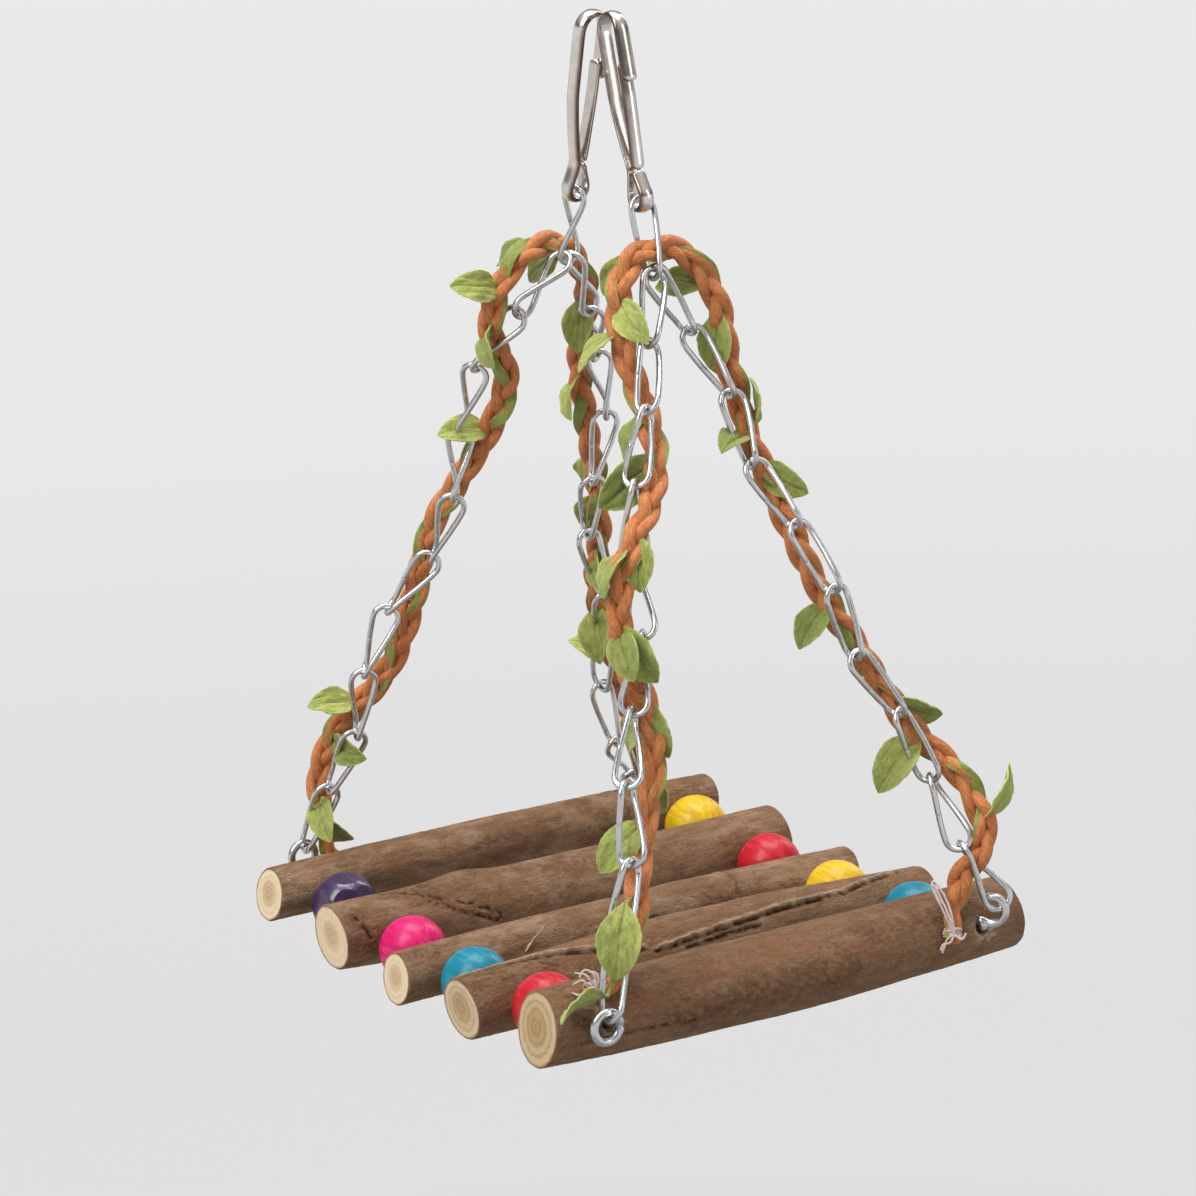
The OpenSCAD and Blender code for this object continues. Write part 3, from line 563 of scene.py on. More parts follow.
class Finish(Nodes):
    """A material in the making."""

    def __init__(self, title, **uniform):
        self.material = bpy.data.materials.new(title)
        super().__init__(self.material)
        self.shader = self.tree.nodes["Principled BSDF"]
        self.set(**uniform)

    def set(self, **sockets):
        for key, value in sockets.items():
            self.feed(self.shader.inputs[key.replace("_", " ")], value)

    def grain(self, stretch=(1, 1, 1)):
        """The piece's own straightened coordinates in millimetres, stretched."""
        own = self.node("ShaderNodeAttribute", {"attribute_name": "grain"}, output=1)
        return self.node("ShaderNodeVectorMath", {"operation": "MULTIPLY"}, {0: own, 1: stretch})

    def mark(self, title):
        """A number that the mesh carries at each of its points."""
        return self.node("ShaderNodeAttribute", {"attribute_name": title}, output=2)

    def cloud(self, where, scale=1.0, detail=4.0, rough=0.55, distortion=0.0):
        return self.node(
            "ShaderNodeTexNoise", None,
            {"Vector": where, "Scale": scale, "Detail": detail, "Roughness": rough,
             "Distortion": distortion},
        )

    def cells(self, where, scale=1.0, feature="F1"):
        return self.node(
            "ShaderNodeTexVoronoi", {"feature": feature}, {"Vector": where, "Scale": scale}
        )

    def mix(self, share, a, b):
        return self.node("ShaderNodeMix", {"data_type": "RGBA"}, {0: share, 6: a, 7: b}, 2)

    def layers(self, tone, *coats):
        """Lays tones over the first one. Each coat is how far it covers, and its tone."""
        for cover, coat in coats:
            tone = self.mix(cover, tone, coat)
        return tone

    def bump(self, height, distance):
        return self.node("ShaderNodeBump", None, {"Height": height, "Distance": distance * MM})


# Tones that no user would change: pale flecks in the bark, bright flecks of wax on the cord,
# and dye that the thread has picked up
BARK_FLECK = (0.46, 0.32, 0.2)
CORD_FLECK = (0.74, 0.34, 0.13)
THREAD_DYE = (0.75, 0.32, 0.2)


def darker(tone, share):
    return tuple(c * share for c in tone)


def paler(tone, share=1.0, lift=0.0):
    return tuple(min(1, lift + c * share) for c in tone)


def steel(title, tone, rough, marks, painted_reflection=None):
    """Plated steel with a faint cast, fine rub marks and, on the strip, a painted dark reflection
    along its edges.
    """
    f = Finish(title, Metallic=1.0)
    patch = f.cloud(f.grain(), 0.35, 3)
    rub = f.cloud(f.grain((0.15, 2.4, 2.4)), 2.0, 3)
    coats = [(patch.between(0.3, 0.75), tone)]
    if painted_reflection:
        # On the strip, a painted dark reflection at the edges, broken up by noise
        reflection_breakup = f.cloud(f.grain((0.3, 1, 1)), 0.5, 4)
        coats.append((f.mark("rim") * (0.7 + 0.5 * reflection_breakup), painted_reflection))
    f.set(
        Base_Color=f.layers(darker(tone, 0.84), *coats),
        Roughness=rough + 0.08 * rub + 0.07 * patch,
        Normal=f.bump(rub, marks),
    )
    return f.material


def bark_finish(c):
    """Thin bark: fine ridges along the branch, cracks, scraped places and pores."""
    f = Finish("bark", Specular_IOR_Level=0.22)
    red, dark, pale, shade = f.mark("red"), f.mark("dark"), f.mark("pale"), f.mark("shade")
    streak = f.cloud(f.grain((0.16, 1, 1)), 0.8, 6, 0.7)
    fleck = f.cloud(f.grain((0.7, 1, 1)), 1.5, 6, 0.75)
    speck = f.cloud(f.grain((0.7, 1, 1)), 1.9, 5, 0.8)
    patch = f.cloud(f.grain((0.5, 1, 1)), 0.16, 3, 0.6, 0.6)
    crack = f.cells(f.grain((0.3, 1, 1)), 0.75, "DISTANCE_TO_EDGE")
    pore = 1 - f.cells(f.grain((0.8, 0.5, 0.5)), 0.9).between(0.05, 0.3)
    mottle = f.cloud(f.grain((0.5, 1, 1)), 0.36, 5, 0.7)
    tone = f.layers(
        darker(c.bark_mid, 0.66),
        (streak.between(0.3, 0.72), c.bark_mid),
        (patch.between(0.42, 0.7) * (0.2 + 0.65 * shade), c.bark_light),
        ((1 - fleck).between(0.5, 0.78) * 0.65, c.bark_dark),
        ((1 - crack.between(0.0, 0.05)) * streak.between(0.4, 0.65) * 0.22, c.bark_dark),
        (patch.between(0.54, 0.76) * 0.4 * (1 - shade), c.bark_red),
        (mottle.between(0.48, 0.66) * 0.65, darker(c.bark_mid, 0.5)),
        ((1 - mottle).between(0.54, 0.7) * 0.3, c.bark_light),
        (speck.between(0.55, 0.7) * 0.5, BARK_FLECK),
        ((1 - speck).between(0.54, 0.68) * 0.65, darker(c.bark_dark, 0.8)),
        (pore * 0.25, c.bark_light),
        (red * 0.8, f.mix(fleck.between(0.35, 0.65), darker(c.bark_red, 0.5), c.bark_red)),
        (pale * 0.8, f.mix(streak, c.bark_light, c.sapwood)),
        # The dark mark: dark stains, cracks and scars, and painted shadow in the splits' hollows
        (dark * 0.92, darker(c.bark_dark, 0.45)),
    )
    f.set(
        Base_Color=tone,
        Roughness=0.6 + 0.28 * fleck,
        Normal=f.bump(
            0.5 * streak + 0.7 * fleck + 0.45 * speck + 0.12 * crack.between(0.0, 0.12)
            + 0.15 * pore, 0.7
        ),
    )
    return f.material


def sawn_finish(c):
    """A sawn end: growth rings round the pith, saw marks and fine checks."""
    f = Finish("sawn_wood", Specular_IOR_Level=0.22)
    ring, shade = f.mark("ring"), f.mark("shade")
    wood = f.cloud(f.grain(), 0.55, 5, 0.6)
    fibre = f.cloud(f.grain(), 3.2, 3, 0.6)
    growth = ((ring * 24 + 6 * wood).wave() * 0.5 + 0.5) ** 2.0
    saw = f.cloud(f.grain((1, 3, 0.12)), 1.5, 3)
    sap = ring.between(0.2, 0.85) * (0.45 + 0.4 * shade) + 0.5 * shade
    tone = f.layers(
        c.heartwood,
        (sap, c.sapwood),
        (growth * (0.52 - 0.5 * shade), darker(c.heartwood, 0.66)),
        (fibre.between(0.5, 0.8) * 0.3, darker(c.heartwood, 0.6)),
        (wood.between(0.5, 0.8) * 0.3, darker(c.sapwood, 0.75)),
        ((1 - ring.between(0.015, 0.05)) * 0.7, c.bark_mid),
        (ring.between(0.93, 0.985) * 0.85, c.bark_mid),
    )
    f.set(
        Base_Color=tone,
        Roughness=0.7 + 0.2 * fibre,
        Normal=f.bump(0.4 * fibre + 0.5 * saw + 0.25 * growth, 0.22),
    )
    return f.material


def paint_finish(title, tone, gloss):
    """Gloss paint on turned wood, thin enough to show the grain."""
    f = Finish(title, Specular_IOR_Level=0.25 + 0.4 * gloss, Coat_Roughness=0.16 - 0.1 * gloss)
    grain = f.cloud(f.grain((1, 0.14, 1)), 0.7, 5, 0.65)
    patch = f.cloud(f.grain(), 0.16, 2)
    fleck = f.cloud(f.grain((1.5, 0.3, 1.5)), 2.2, 3)
    f.set(
        Base_Color=f.layers(
            tone,
            (grain.between(0.35, 0.68) * 0.7, darker(tone, 0.55)),
            ((1 - grain).between(0.52, 0.72) * 0.14, paler(tone, lift=0.2)),
            (fleck.between(0.6, 0.74) * 0.45, darker(tone, 0.45)),
        ),
        Roughness=0.36 - 0.16 * gloss + 0.2 * grain,
        Coat_Weight=0.14 + 0.22 * gloss + 0.16 * patch,
        Normal=f.bump(grain + 0.4 * fleck, 0.1 - 0.07 * gloss),
    )
    return f.material


def cord_finish(c):
    """Waxed paper cord: flecked fibres laid at a slant along it."""
    f = Finish("waxed_cord", Specular_IOR_Level=0.3, Sheen_Weight=0.1)
    fibre = f.cloud(f.grain((0.55, 1.6, 1.6)), 1.6, 5, 0.65)
    fleck = f.cloud(f.grain((0.8, 2.6, 2.6)), 2.6, 3, 0.6)
    patch = f.cloud(f.grain(), 0.14, 2)
    f.set(
        Base_Color=f.layers(
            c.cord_shade,
            (fibre.between(0.32, 0.68), c.cord),
            (fleck.between(0.6, 0.76) * 0.4, CORD_FLECK),
            ((1 - fleck).between(0.6, 0.78) * 0.5, darker(c.cord_shade, 0.55)),
            (patch.between(0.5, 0.8) * 0.35, c.cord_shade),
        ),
        Roughness=0.45 + 0.3 * fibre,
        Normal=f.bump(0.7 * fibre + 0.4 * fleck, 0.38),
    )
    return f.material


def leaf_finish(title, c, fresh):
    """Embossed leaf fabric: lines along it, crinkles and a fine weave, with painted shade and
    highlights on the crinkles, creases and edges.
    """
    f = Finish(title, Specular_IOR_Level=0.25, Sheen_Weight=0.15, Sheen_Roughness=0.5)
    shade, vein, rim = f.mark("shade"), f.mark("vein"), f.mark("rim")
    crinkle = f.cloud(f.grain((0.55, 1.3, 1)), 0.8, 5, 0.65)
    crease = f.cloud(f.grain((0.35, 1.5, 1)), 1.1, 3, 0.5, 0.8)
    weave = f.cloud(f.grain((2.2, 2.2, 1)), 3.2, 2)
    light = tuple(a * fresh + b * (1 - fresh) for a, b in zip(c.leaf, c.leaf_shade))
    fold = 1 - (crease - 0.5).size().between(0.0, 0.035)
    f.set(
        Base_Color=f.layers(
            light,
            (shade * 0.85, c.leaf_shade),
            # Painted shade and painted highlight that follow the crinkles' relief
            (crinkle.between(0.45, 0.7) * 0.4, darker(c.leaf_shade, 0.9)),
            ((1 - crinkle).between(0.56, 0.75) * 0.3, paler(light, 1.25)),
            # Painted shade in the creases
            (fold * 0.45, darker(c.leaf_shade, 0.6)),
            (weave.between(0.5, 0.75) * 0.22, darker(light, 0.55)),
            (vein * 0.4, darker(c.leaf_shade, 0.8)),
            # Pale edges: partly frayed pale fibres, partly painted highlight
            (rim * 0.35, paler(light, 1.3, 0.06)),
        ),
        Roughness=0.66 + 0.2 * weave,
        Normal=f.bump(0.7 * crinkle + 0.6 * crease - 0.3 * vein + 0.3 * weave, 0.45),
    )
    return f.material


def thread_finish(c):
    """Loose white cotton thread that has picked up a little dye."""
    f = Finish("thread", Specular_IOR_Level=0.2, Sheen_Weight=0.3)
    fibre = f.cloud(f.grain((0.8, 3, 3)), 3, 4)
    dye = f.cloud(f.grain(), 0.3, 2)
    tone = f.mix(dye.between(0.45, 0.75) * 0.7, c.thread, THREAD_DYE)
    f.set(
        Base_Color=f.mix(fibre.between(0.3, 0.7), darker(c.thread, 0.7), tone),
        Roughness=0.75 + 0.2 * fibre,
        Normal=f.bump(fibre, 0.25),
    )
    return f.material


# Mesh tools
def place(spot, *turns):
    """A placing from a spot and turns, each (degrees, axis), the first one outermost."""
    m = Matrix.Translation(Vector(spot))
    for degrees, axis in turns:
        m = m @ Matrix.Rotation(math.radians(degrees), 4, axis)
    return m


def moved(points, matrix):
    m = np.array(matrix)
    return np.asarray(points, float) @ m[:3, :3].T + m[:3, 3]


def hang(side):
    return place((0, side * CLIP_SPACING / 2, 0), (side * math.degrees(CLIP_LEAN), "X"))


def on_deck(along, x=0.0):
    return place(
        (x, arc_y(along), DECK_Z + arc_rise(along)), (math.degrees(along / ARC_RADIUS), "X")
    )


def headings(path):
    d = np.gradient(path, axis=0)
    return d / np.linalg.norm(d, axis=1)[:, None]


def run_of(path):
    return np.concatenate([[0], np.cumsum(np.linalg.norm(np.diff(path, axis=0), axis=1))])


def carried(heads, first):
    """One side of a path carried along it without twist."""
    sides = [unit(square_to(np.asarray(first, float), heads[0]))]
    for h in heads[1:]:
        sides.append(unit(square_to(sides[-1], h)))
    return np.array(sides)


def eased(points, step):
    """A smooth path through the points, in even steps."""
    p = np.asarray(points, float)
    p = np.vstack([2 * p[0] - p[1], p, 2 * p[-1] - p[-2]])
    out = []
    t = np.linspace(0, 1, 24, endpoint=False)[:, None]
    for i in range(1, len(p) - 2):
        a, b, c, d = p[i - 1 : i + 3]
        out.append(
            0.5 * (2 * b + (c - a) * t + (2 * a - 5 * b + 4 * c - d) * t**2
                   + (3 * b - a - 3 * c + d) * t**3)
        )
    fine = np.vstack(out + [p[-2:-1]])
    s = run_of(fine)
    even = np.linspace(0, s[-1], max(2, int(round(s[-1] / step)) + 1))
    return np.stack([np.interp(even, s, fine[:, k]) for k in range(3)], 1)


def circle(r, sides, squash=1.0):
    a = 2 * math.pi * np.arange(sides) / sides
    return np.stack([r * np.cos(a), r * squash * np.sin(a)], 1)


def ring_faces(rings, corners, capped=True):
    """The faces between rings of points, wound outwards, and the caps at both ends."""
    faces = []
    for i in range(rings - 1):
        for k in range(corners):
            a, b = i * corners + k, i * corners + (k + 1) % corners
            faces.append((a, b, b + corners, a + corners))
    if capped:
        faces.append(tuple(range(corners - 1, -1, -1)))
        faces.append(tuple((rings - 1) * corners + k for k in range(corners)))
    return faces


def sheet_faces(n, m):
    """The faces of a sheet from two grids of n by m points, its top and its underside."""
    count = n * m
    faces = []
    for j in range(n - 1):
        for k in range(m - 1):
            a, b, c, d = j * m + k, (j + 1) * m + k, (j + 1) * m + k + 1, j * m + k + 1
            faces.append((a, b, c, d))
            faces.append((a + count, d + count, c + count, b + count))
    rim = [j * m for j in range(n)] + [(n - 1) * m + k for k in range(1, m)]
    rim += [j * m + m - 1 for j in range(n - 2, -1, -1)] + list(range(m - 2, 0, -1))
    faces += [(b, a, a + count, b + count) for a, b in zip(rim, rim[1:] + rim[:1])]
    return faces


class Skin:
    """Points and faces that are gathered into one mesh, with what its finish reads."""

    def __init__(self):
        self.points, self.faces, self.slots, self.grains = [], [], [], []
        self.marks = {}
        self.count = 0

    def add(self, points, faces, slot=0, grain=None, **marks):
        """Adds points and faces. A mark is one number for all points, or one for each."""
        points = np.asarray(points, float)
        n = len(points)
        self.points.append(points)
        self.grains.append(points if grain is None else np.asarray(grain, float))
        for key in {**self.marks, **marks}:
            value = marks.get(key, 0.0)
            rows = self.marks.setdefault(key, [np.zeros(self.count)] if self.count else [])
            rows.append(np.broadcast_to(np.asarray(value, float), n))
        self.faces += [tuple(i + self.count for i in f) for f in faces]
        self.slots += [slot] * len(faces)
        self.count += n

    def tube(self, path, section, across=None, swell=None, slot=0, start=0.0, twist=0.0, **marks):
        """Sweeps a section along a path. Swell gives each ring's size, and twist turns the
        grain round the path, in turns per millimetre."""
        path = np.asarray(path, float)
        heads = headings(path)
        n, m = len(path), len(section)
        if across is None:
            across = np.cross(heads[0], [0, 0, 1] if abs(heads[0][2]) < 0.8 else [1, 0, 0])
        across = np.asarray(across, float)
        if across.ndim == 1:
            sides = carried(heads, across)
        else:
            sides = across - np.sum(across * heads, 1)[:, None] * heads
            sides /= np.linalg.norm(sides, axis=1)[:, None]
        over = np.cross(heads, sides)
        size = np.ones(n) if swell is None else np.asarray(swell, float)
        points = (
            path[:, None, :]
            + size[:, None, None] * section[None, :, :1] * sides[:, None, :]
            + size[:, None, None] * section[None, :, 1:] * over[:, None, :]
        ).reshape(-1, 3)
        run = start + run_of(path)
        turn = 2 * math.pi * twist * run
        a = np.arctan2(section[:, 1], section[:, 0])[None, :] + turn[:, None]
        r = np.linalg.norm(section, axis=1)[None, :] * np.ones((n, 1))
        grain = np.stack(
            [np.repeat(run[:, None], m, 1), r * np.cos(a), r * np.sin(a)], 2
        ).reshape(-1, 3)
        self.add(points, ring_faces(n, m), slot, grain, **marks)

    def mesh(self, title, sharp=None, scale=MM):
        data = bpy.data.meshes.new(title)
        data.from_pydata((np.vstack(self.points) * scale).tolist(), [], self.faces)
        data.polygons.foreach_set("material_index", self.slots)
        grain = data.attributes.new("grain", "FLOAT_VECTOR", "POINT")
        grain.data.foreach_set("vector", np.vstack(self.grains).ravel().astype(np.float32))
        for key, rows in self.marks.items():
            mark = data.attributes.new(key, "FLOAT", "POINT")
            mark.data.foreach_set("value", np.concatenate(rows).astype(np.float32))
        data.shade_smooth()
        if sharp is not None:
            data.set_sharp_from_angle(angle=math.radians(sharp))
        data.validate()
        data.update()
        return data


def round_ends(path, r, steps=4):
    """A path with its first and last rings set in, and their sizes, so that a wire ends round."""
    path = np.asarray(path, float)
    heads = headings(path)
    a = np.linspace(0, math.pi / 2, steps + 1)[1:]
    lead = [path[0] - heads[0] * r * math.sin(t) * 0.8 for t in a[::-1]]
    tail = [path[-1] + heads[-1] * r * math.sin(t) * 0.8 for t in a]
    ends = [max(0.02, math.cos(t)) for t in a]
    return np.vstack([lead, path, tail]), np.array(ends[::-1] + [1.0] * len(path) + ends)


def weld(mesh):
    """Joins the points that fall together and turns every face outwards."""
    made = bmesh.new()
    made.from_mesh(mesh)
    bmesh.ops.remove_doubles(made, verts=made.verts, dist=1e-7)
    bmesh.ops.recalc_face_normals(made, faces=made.faces)
    made.to_mesh(mesh)
    made.free()
    return mesh


def add_object(title, data):
    obj = bpy.data.objects.new(title, data)
    bpy.context.scene.collection.objects.link(obj)
    return obj


def piece(title, mesh, materials, node, replaces=True):
    """Puts a finished mesh on a node's body, in place of the node or as more of it."""
    obj = add_object(title, mesh)
    for material in materials:
        mesh.materials.append(material)
    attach(obj, BODY_OF[node])
    if replaces:
        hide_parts(node)


def rough_at(p, scale, stretch=(1, 1, 1), detail=4):
    v = Vector((p[0] * stretch[0], p[1] * stretch[1], p[2] * stretch[2])) * scale
    return noise.fractal(v, 0.9, 2.0, detail)


def hump(x, width):
    return np.exp(-((x / width) ** 2))


def drift_at(x, seed):
    """A slow wander between about -1 and 1."""
    return noise.noise(Vector((x, seed * 7.31, seed * 1.7)))


def drift_along(run, rate, seed):
    return np.array([drift_at(s * rate, seed) for s in run])


# Operators
class Maker(bpy.types.Operator):
    """What the operators share."""

    bl_options = {"REGISTER"}

    @property
    def sizes(self):
        return bpy.context.scene.swing_sizes

    @property
    def colours(self):
        return bpy.context.scene.swing_colours


def strip_outline(width, thick):
    """Half round strip: flat inside, domed outside. First number outwards, second across."""
    w, t = width / 2, thick / 2
    out = [(-t, -w * 0.86), (-t * 0.9, -w * 0.95), (-t * 0.68, -w)]
    for a in np.linspace(0, math.pi, 23)[1:-1]:
        out.append((-t * 0.6 + t * 1.6 * math.sin(a) ** 0.85, -w * math.cos(a)))
    out += [(-t * 0.68, w), (-t * 0.9, w * 0.95), (-t, w * 0.86)]
    return np.array(out)


class SWING_OT_clips(Maker):
    """Bends the two spring clips and their gates from half round strip"""

    bl_idname = "swing.clips"
    bl_label = "Spring Clips"

    def execute(self, context):
        # The clip steel gets a painted dark reflection along the strip's edges
        finish = steel(
            "clip_steel", tuple(self.colours.clip_steel), 0.12, 0.002,
            tuple(self.colours.clip_edge_reflection),
        )
        parts = (
            ("frame", self.frame_line(), STRIP_WIDTH, STRIP_THICKNESS, True),
            ("gate", self.gate_line(), STRIP_WIDTH * 0.94, STRIP_THICKNESS * 0.95, False),
        )
        for side, name in SIDES:
            at = hang(side) @ place((0, 0, 0), (CLIP_TURN[side], "Z"))
            for part, line, width, thick, hood in parts:
                skin = Skin()
                self.strip(skin, line, at, width, thick, hood)
                piece(
                    f"clip_{part}_{name}", skin.mesh(f"clip_{part}", 62), [finish],
                    f"hook_{part}_{name}",
                )
        return {"FINISHED"}

    def frame_line(self):
        """The frame's centreline in the clip's plane, from the nose round to the waist."""
        top = -LOOP_R + STRIP_HALF
        points = [(LOOP_R, z) for z in np.linspace(-NOSE_LENGTH, top, 9)[:-1]]
        points += [
            (LOOP_R * math.cos(a), top + LOOP_R * math.sin(a))
            for a in np.linspace(0, math.pi, 25)
        ]
        points += [(-LOOP_R, z) for z in np.linspace(top, CLIP_KNEE_Z, 7)[1:]]
        for t in np.linspace(0, 1, 16)[1:]:
            x = -LOOP_R + (LOOP_R - WAIST_X) * (0.25 * t + 0.75 * t**1.5)
            points.append((x, CLIP_KNEE_Z + (WAIST_Z - CLIP_KNEE_Z) * t))
        reach = math.hypot(WAIST_X, WAIST_Z - CLIP_EYE_Z)
        tangent = math.atan2(WAIST_Z - CLIP_EYE_Z, -WAIST_X) + math.acos(CLIP_EYE_R / reach)
        points += [
            (CLIP_EYE_R * math.cos(a), CLIP_EYE_Z + CLIP_EYE_R * math.sin(a))
            for a in np.linspace(tangent, 3 * math.pi - tangent, 33)
        ]
        points += [(WAIST_X, WAIST_Z - 0.8), (WAIST_X, WAIST_Z)]
        return self.smooth(points)

    def gate_line(self):
        """The gate's centreline, from the waist up to its tip behind the nose."""
        points = [(WAIST_X, WAIST_Z)]
        for t in np.linspace(1, 0, 14)[1:]:
            x = WAIST_X + (GATE_TIP_X - WAIST_X) * (1 - t) ** 0.8
            points.append((x, CLIP_KNEE_Z + (WAIST_Z - CLIP_KNEE_Z) * t))
        points += [(GATE_TIP_X, z) for z in np.linspace(CLIP_KNEE_Z, GATE_TIP_Z, 4)[1:]]
        return self.smooth(points)

    def smooth(self, points):
        line = eased([(x, 0, z) for x, z in points], 0.35)
        for _ in range(14):
            line[1:-1] = (line[:-2] + 2 * line[1:-1] + line[2:]) / 4
        return line

    def strip(self, skin, line, at, width, thick, hood):
        """Sweeps the strip with its domed face outwards, its ends rounded and, with a hood,
        the nose a little wider and thicker than the rest."""
        heads = headings(line)
        out = np.cross([0.0, 1.0, 0.0], heads)
        section = strip_outline(width, thick)
        run = run_of(line)
        n, m = len(line), len(section)
        tip = np.clip(run / (thick * 0.9), 0, 1)
        tail = np.clip((run[-1] - run) / (thick * 0.9), 0, 1)
        ends = np.sqrt(np.clip(1 - (1 - np.minimum(tip, tail)) ** 2, 0.02, 1))
        swell = np.repeat(ends[:, None], 2, 1)
        if hood:
            swell *= 1 + np.outer(1 - np.clip((run - 9) / 6, 0, 1), [0.1, 0.07])
        across = np.array([0.0, 1.0, 0.0])
        points = (
            line[:, None, :]
            + (swell[:, 0, None] * section[None, :, 0] + STRIP_SHIFT)[:, :, None] * out[:, None, :]
            + (swell[:, 1, None] * section[None, :, 1])[:, :, None] * across
        ).reshape(-1, 3)
        grain = np.stack(
            [np.repeat(run, m), np.tile(section[:, 0], n), np.tile(section[:, 1], n)], 1
        )
        # Painted dark reflection on the strip: little on the flat back, most at the sides, and
        # none on the dome's crown
        edge = np.clip((np.abs(section[:, 1]) * 2 / width - 0.5) / 0.4, 0, 1)
        edge = np.where(section[:, 0] < -thick * 0.42, 0.16, edge)
        skin.add(moved(points, at), ring_faces(n, m), 0, grain, rim=np.tile(edge, n))


def link_line():
    """A link's centreline from one cut end round to the other: straight legs, a quarter turn."""
    def leg(start, ts):
        out = []
        for t in ts:
            turn = math.radians(start - math.degrees(math.atan2(t, 1 - t)))
            r = LINK_BEND * (LEG_STRAIGHT * math.hypot(t, 1 - t) + 1 - LEG_STRAIGHT)
            out.append((r * math.cos(turn), r * math.sin(turn), LINK_STRAIGHT * (1 - 2 * t)))
        return out

    bend = np.radians(np.linspace(0, 180, 19))
    upper = [(LINK_BEND * math.cos(a), 0, LINK_STRAIGHT + LINK_BEND * math.sin(a)) for a in bend]
    lower = [(0, LINK_BEND * math.cos(a), -LINK_STRAIGHT - LINK_BEND * math.sin(a)) for a in bend]
    ts = np.linspace(0, 1, 17)
    gap = 0.012
    line = np.array(
        leg(180, [0.5 + gap] + list(ts[ts > 0.5 + gap][:-1]))
        + lower
        + leg(0, ts[::-1][1:-1])
        + upper
        + leg(180, list(ts[ts < 0.5 - gap][1:]) + [0.5 - gap])
    )
    for _ in range(3):
        line[1:-1] = (line[:-2] + 2 * line[1:-1] + line[2:]) / 4
    return line


class SWING_OT_links(Maker):
    """Winds the two top links and the forty chain links from bright wire"""

    bl_idname = "swing.links"
    bl_label = "Chain Links"

    def execute(self, context):
        finish = steel("chain_steel", tuple(self.colours.chain_steel), 0.2, 0.001)
        line = link_line()
        wire, sizes = round_ends(line, LINK_WIRE / 2, 3)
        for side, name in SIDES:
            at = hang(side) @ place(
                (0, 0, TOP_LINK_Z - LINK_STRAIGHT), (TOP_LINK_TURN[side], "Z")
            )
            skin = Skin()
            skin.tube(moved(wire, at), circle(LINK_WIRE / 2, 14), swell=sizes)
            node = f"top_link_{name}"
            piece(f"{node}_wire", skin.mesh(node, 60), [finish], node)
        for name, strand in STRANDS.items():
            skin = Skin()
            for i in range(LINK_COUNT):
                upper, lower = strand.joints[i], strand.joints[i + 1]
                up = unit(upper - lower)
                spin = math.degrees(math.atan2(up[1], up[0]))
                at = place(
                    (upper + lower) / 2, (spin, "Z"), (math.degrees(math.acos(up[2])), "Y"),
                    (strand.headings[i] - spin, "Z"),
                )
                # Each link starts elsewhere in the noise, so that no two are rubbed alike
                section = circle(LINK_WIRE / 2, 14)
                skin.tube(moved(wire, at), section, swell=sizes, start=i * 47.0)
            node = f"chain_{name}"
            piece(f"{node}_links", skin.mesh(node, 60), [finish], node)
        return {"FINISHED"}


class SWING_OT_wires(Maker):
    """Bends the two axle wires with a ring eye at each end"""

    bl_idname = "swing.wires"
    bl_label = "Axle Wires"

    def execute(self, context):
        finish = steel("wire_steel", tuple(self.colours.wire_steel), 0.2, 0.003)
        for hand, name in HANDS:
            near, far = STRANDS[f"near_{name}"], STRANDS[f"far_{name}"]
            reach = ARC_END - 1.5
            # The near right bend leaves its wire earlier than the others
            first = reach - (FACING_START[1] - RING_START[1]) * (name == "right")
            middle = [
                (hand * WIRE_SPACING / 2, arc_y(s), DECK_Z + arc_rise(s))
                for s in np.linspace(-first, reach, 90)
            ]
            near_eye = self.eye(near, RING_SWEEP[f"near_{name}"], name == "right")
            path = np.vstack([near_eye[::-1], middle, self.eye(far, RING_SWEEP[f"far_{name}"])])
            wire, sizes = round_ends(path, WIRE_DIAMETER / 2, 4)
            skin = Skin()
            skin.tube(wire, circle(WIRE_DIAMETER / 2, 18), swell=sizes)
            node = f"axle_wire_{name}"
            piece(f"{node}_bent", skin.mesh(node, 60), [finish], node)
        return {"FINISHED"}

    def eye(self, strand, sweep, facing=False):
        """The bend out of the wire and the ring itself, to its cut end."""
        slope = ARC_END / ARC_RADIUS
        way = strand.side * np.array([0, math.cos(slope), strand.side * math.sin(slope)])
        first, back_off, wire_pull, ring_pull = FACING_START if facing else RING_START
        a = np.radians(np.linspace(180 + first, 180 + sweep, 36))
        u, v, centre = strand.eye_u, strand.eye_v, strand.centre
        if facing:
            # This ring hangs in its link as the photograph shows it, turned to the viewer
            right, up, back = VIEW_AXES
            pull = unit(strand.joints[-2] - strand.joints[-1])
            hold = strand.joints[-1] + pull * RING_SEAT
            u, v = unit(right + 0.35 * back), unit(up + 0.3 * back)
            centre = hold - EYE_R * unit(0.6 * u + 0.8 * v)
        ring = centre + EYE_R * np.cos(a)[:, None] * u + EYE_R * np.sin(a)[:, None] * v
        p0, p3 = strand.corner - way * back_off, ring[0]
        p1, p2 = p0 + way * wire_pull, p3 - unit(ring[1] - ring[0]) * ring_pull
        t = np.linspace(0, 1, 10, endpoint=False)[:, None]
        bend = (1 - t) ** 3 * p0 + 3 * t * (1 - t) ** 2 * p1 + 3 * t**2 * (1 - t) * p2 + t**3 * p3
        return np.vstack([bend, ring])


def perch_radius(i, x, a):
    """A perch's radius at a place along it (a share of its half length) and an angle."""
    r = PERCH_DIAMETERS[i] / 2
    p = PERCH_SHAPES[i]
    swell = 1 - (x / HOLE) ** 2
    total = 1 + swell * (p[0] + p[1] * math.cos(math.radians(2 * (a - p[2]))))
    for spot, angle, height, span, spread in PERCH_KNOTS[i]:
        apart = abs((a - angle + 540) % 360 - 180)
        total += (
            height
            * math.exp(-(((x - spot) * PERCH_LENGTH / 2 / (span * r)) ** 2))
            * math.exp(-((apart / spread) ** 2))
        )
    return r * total


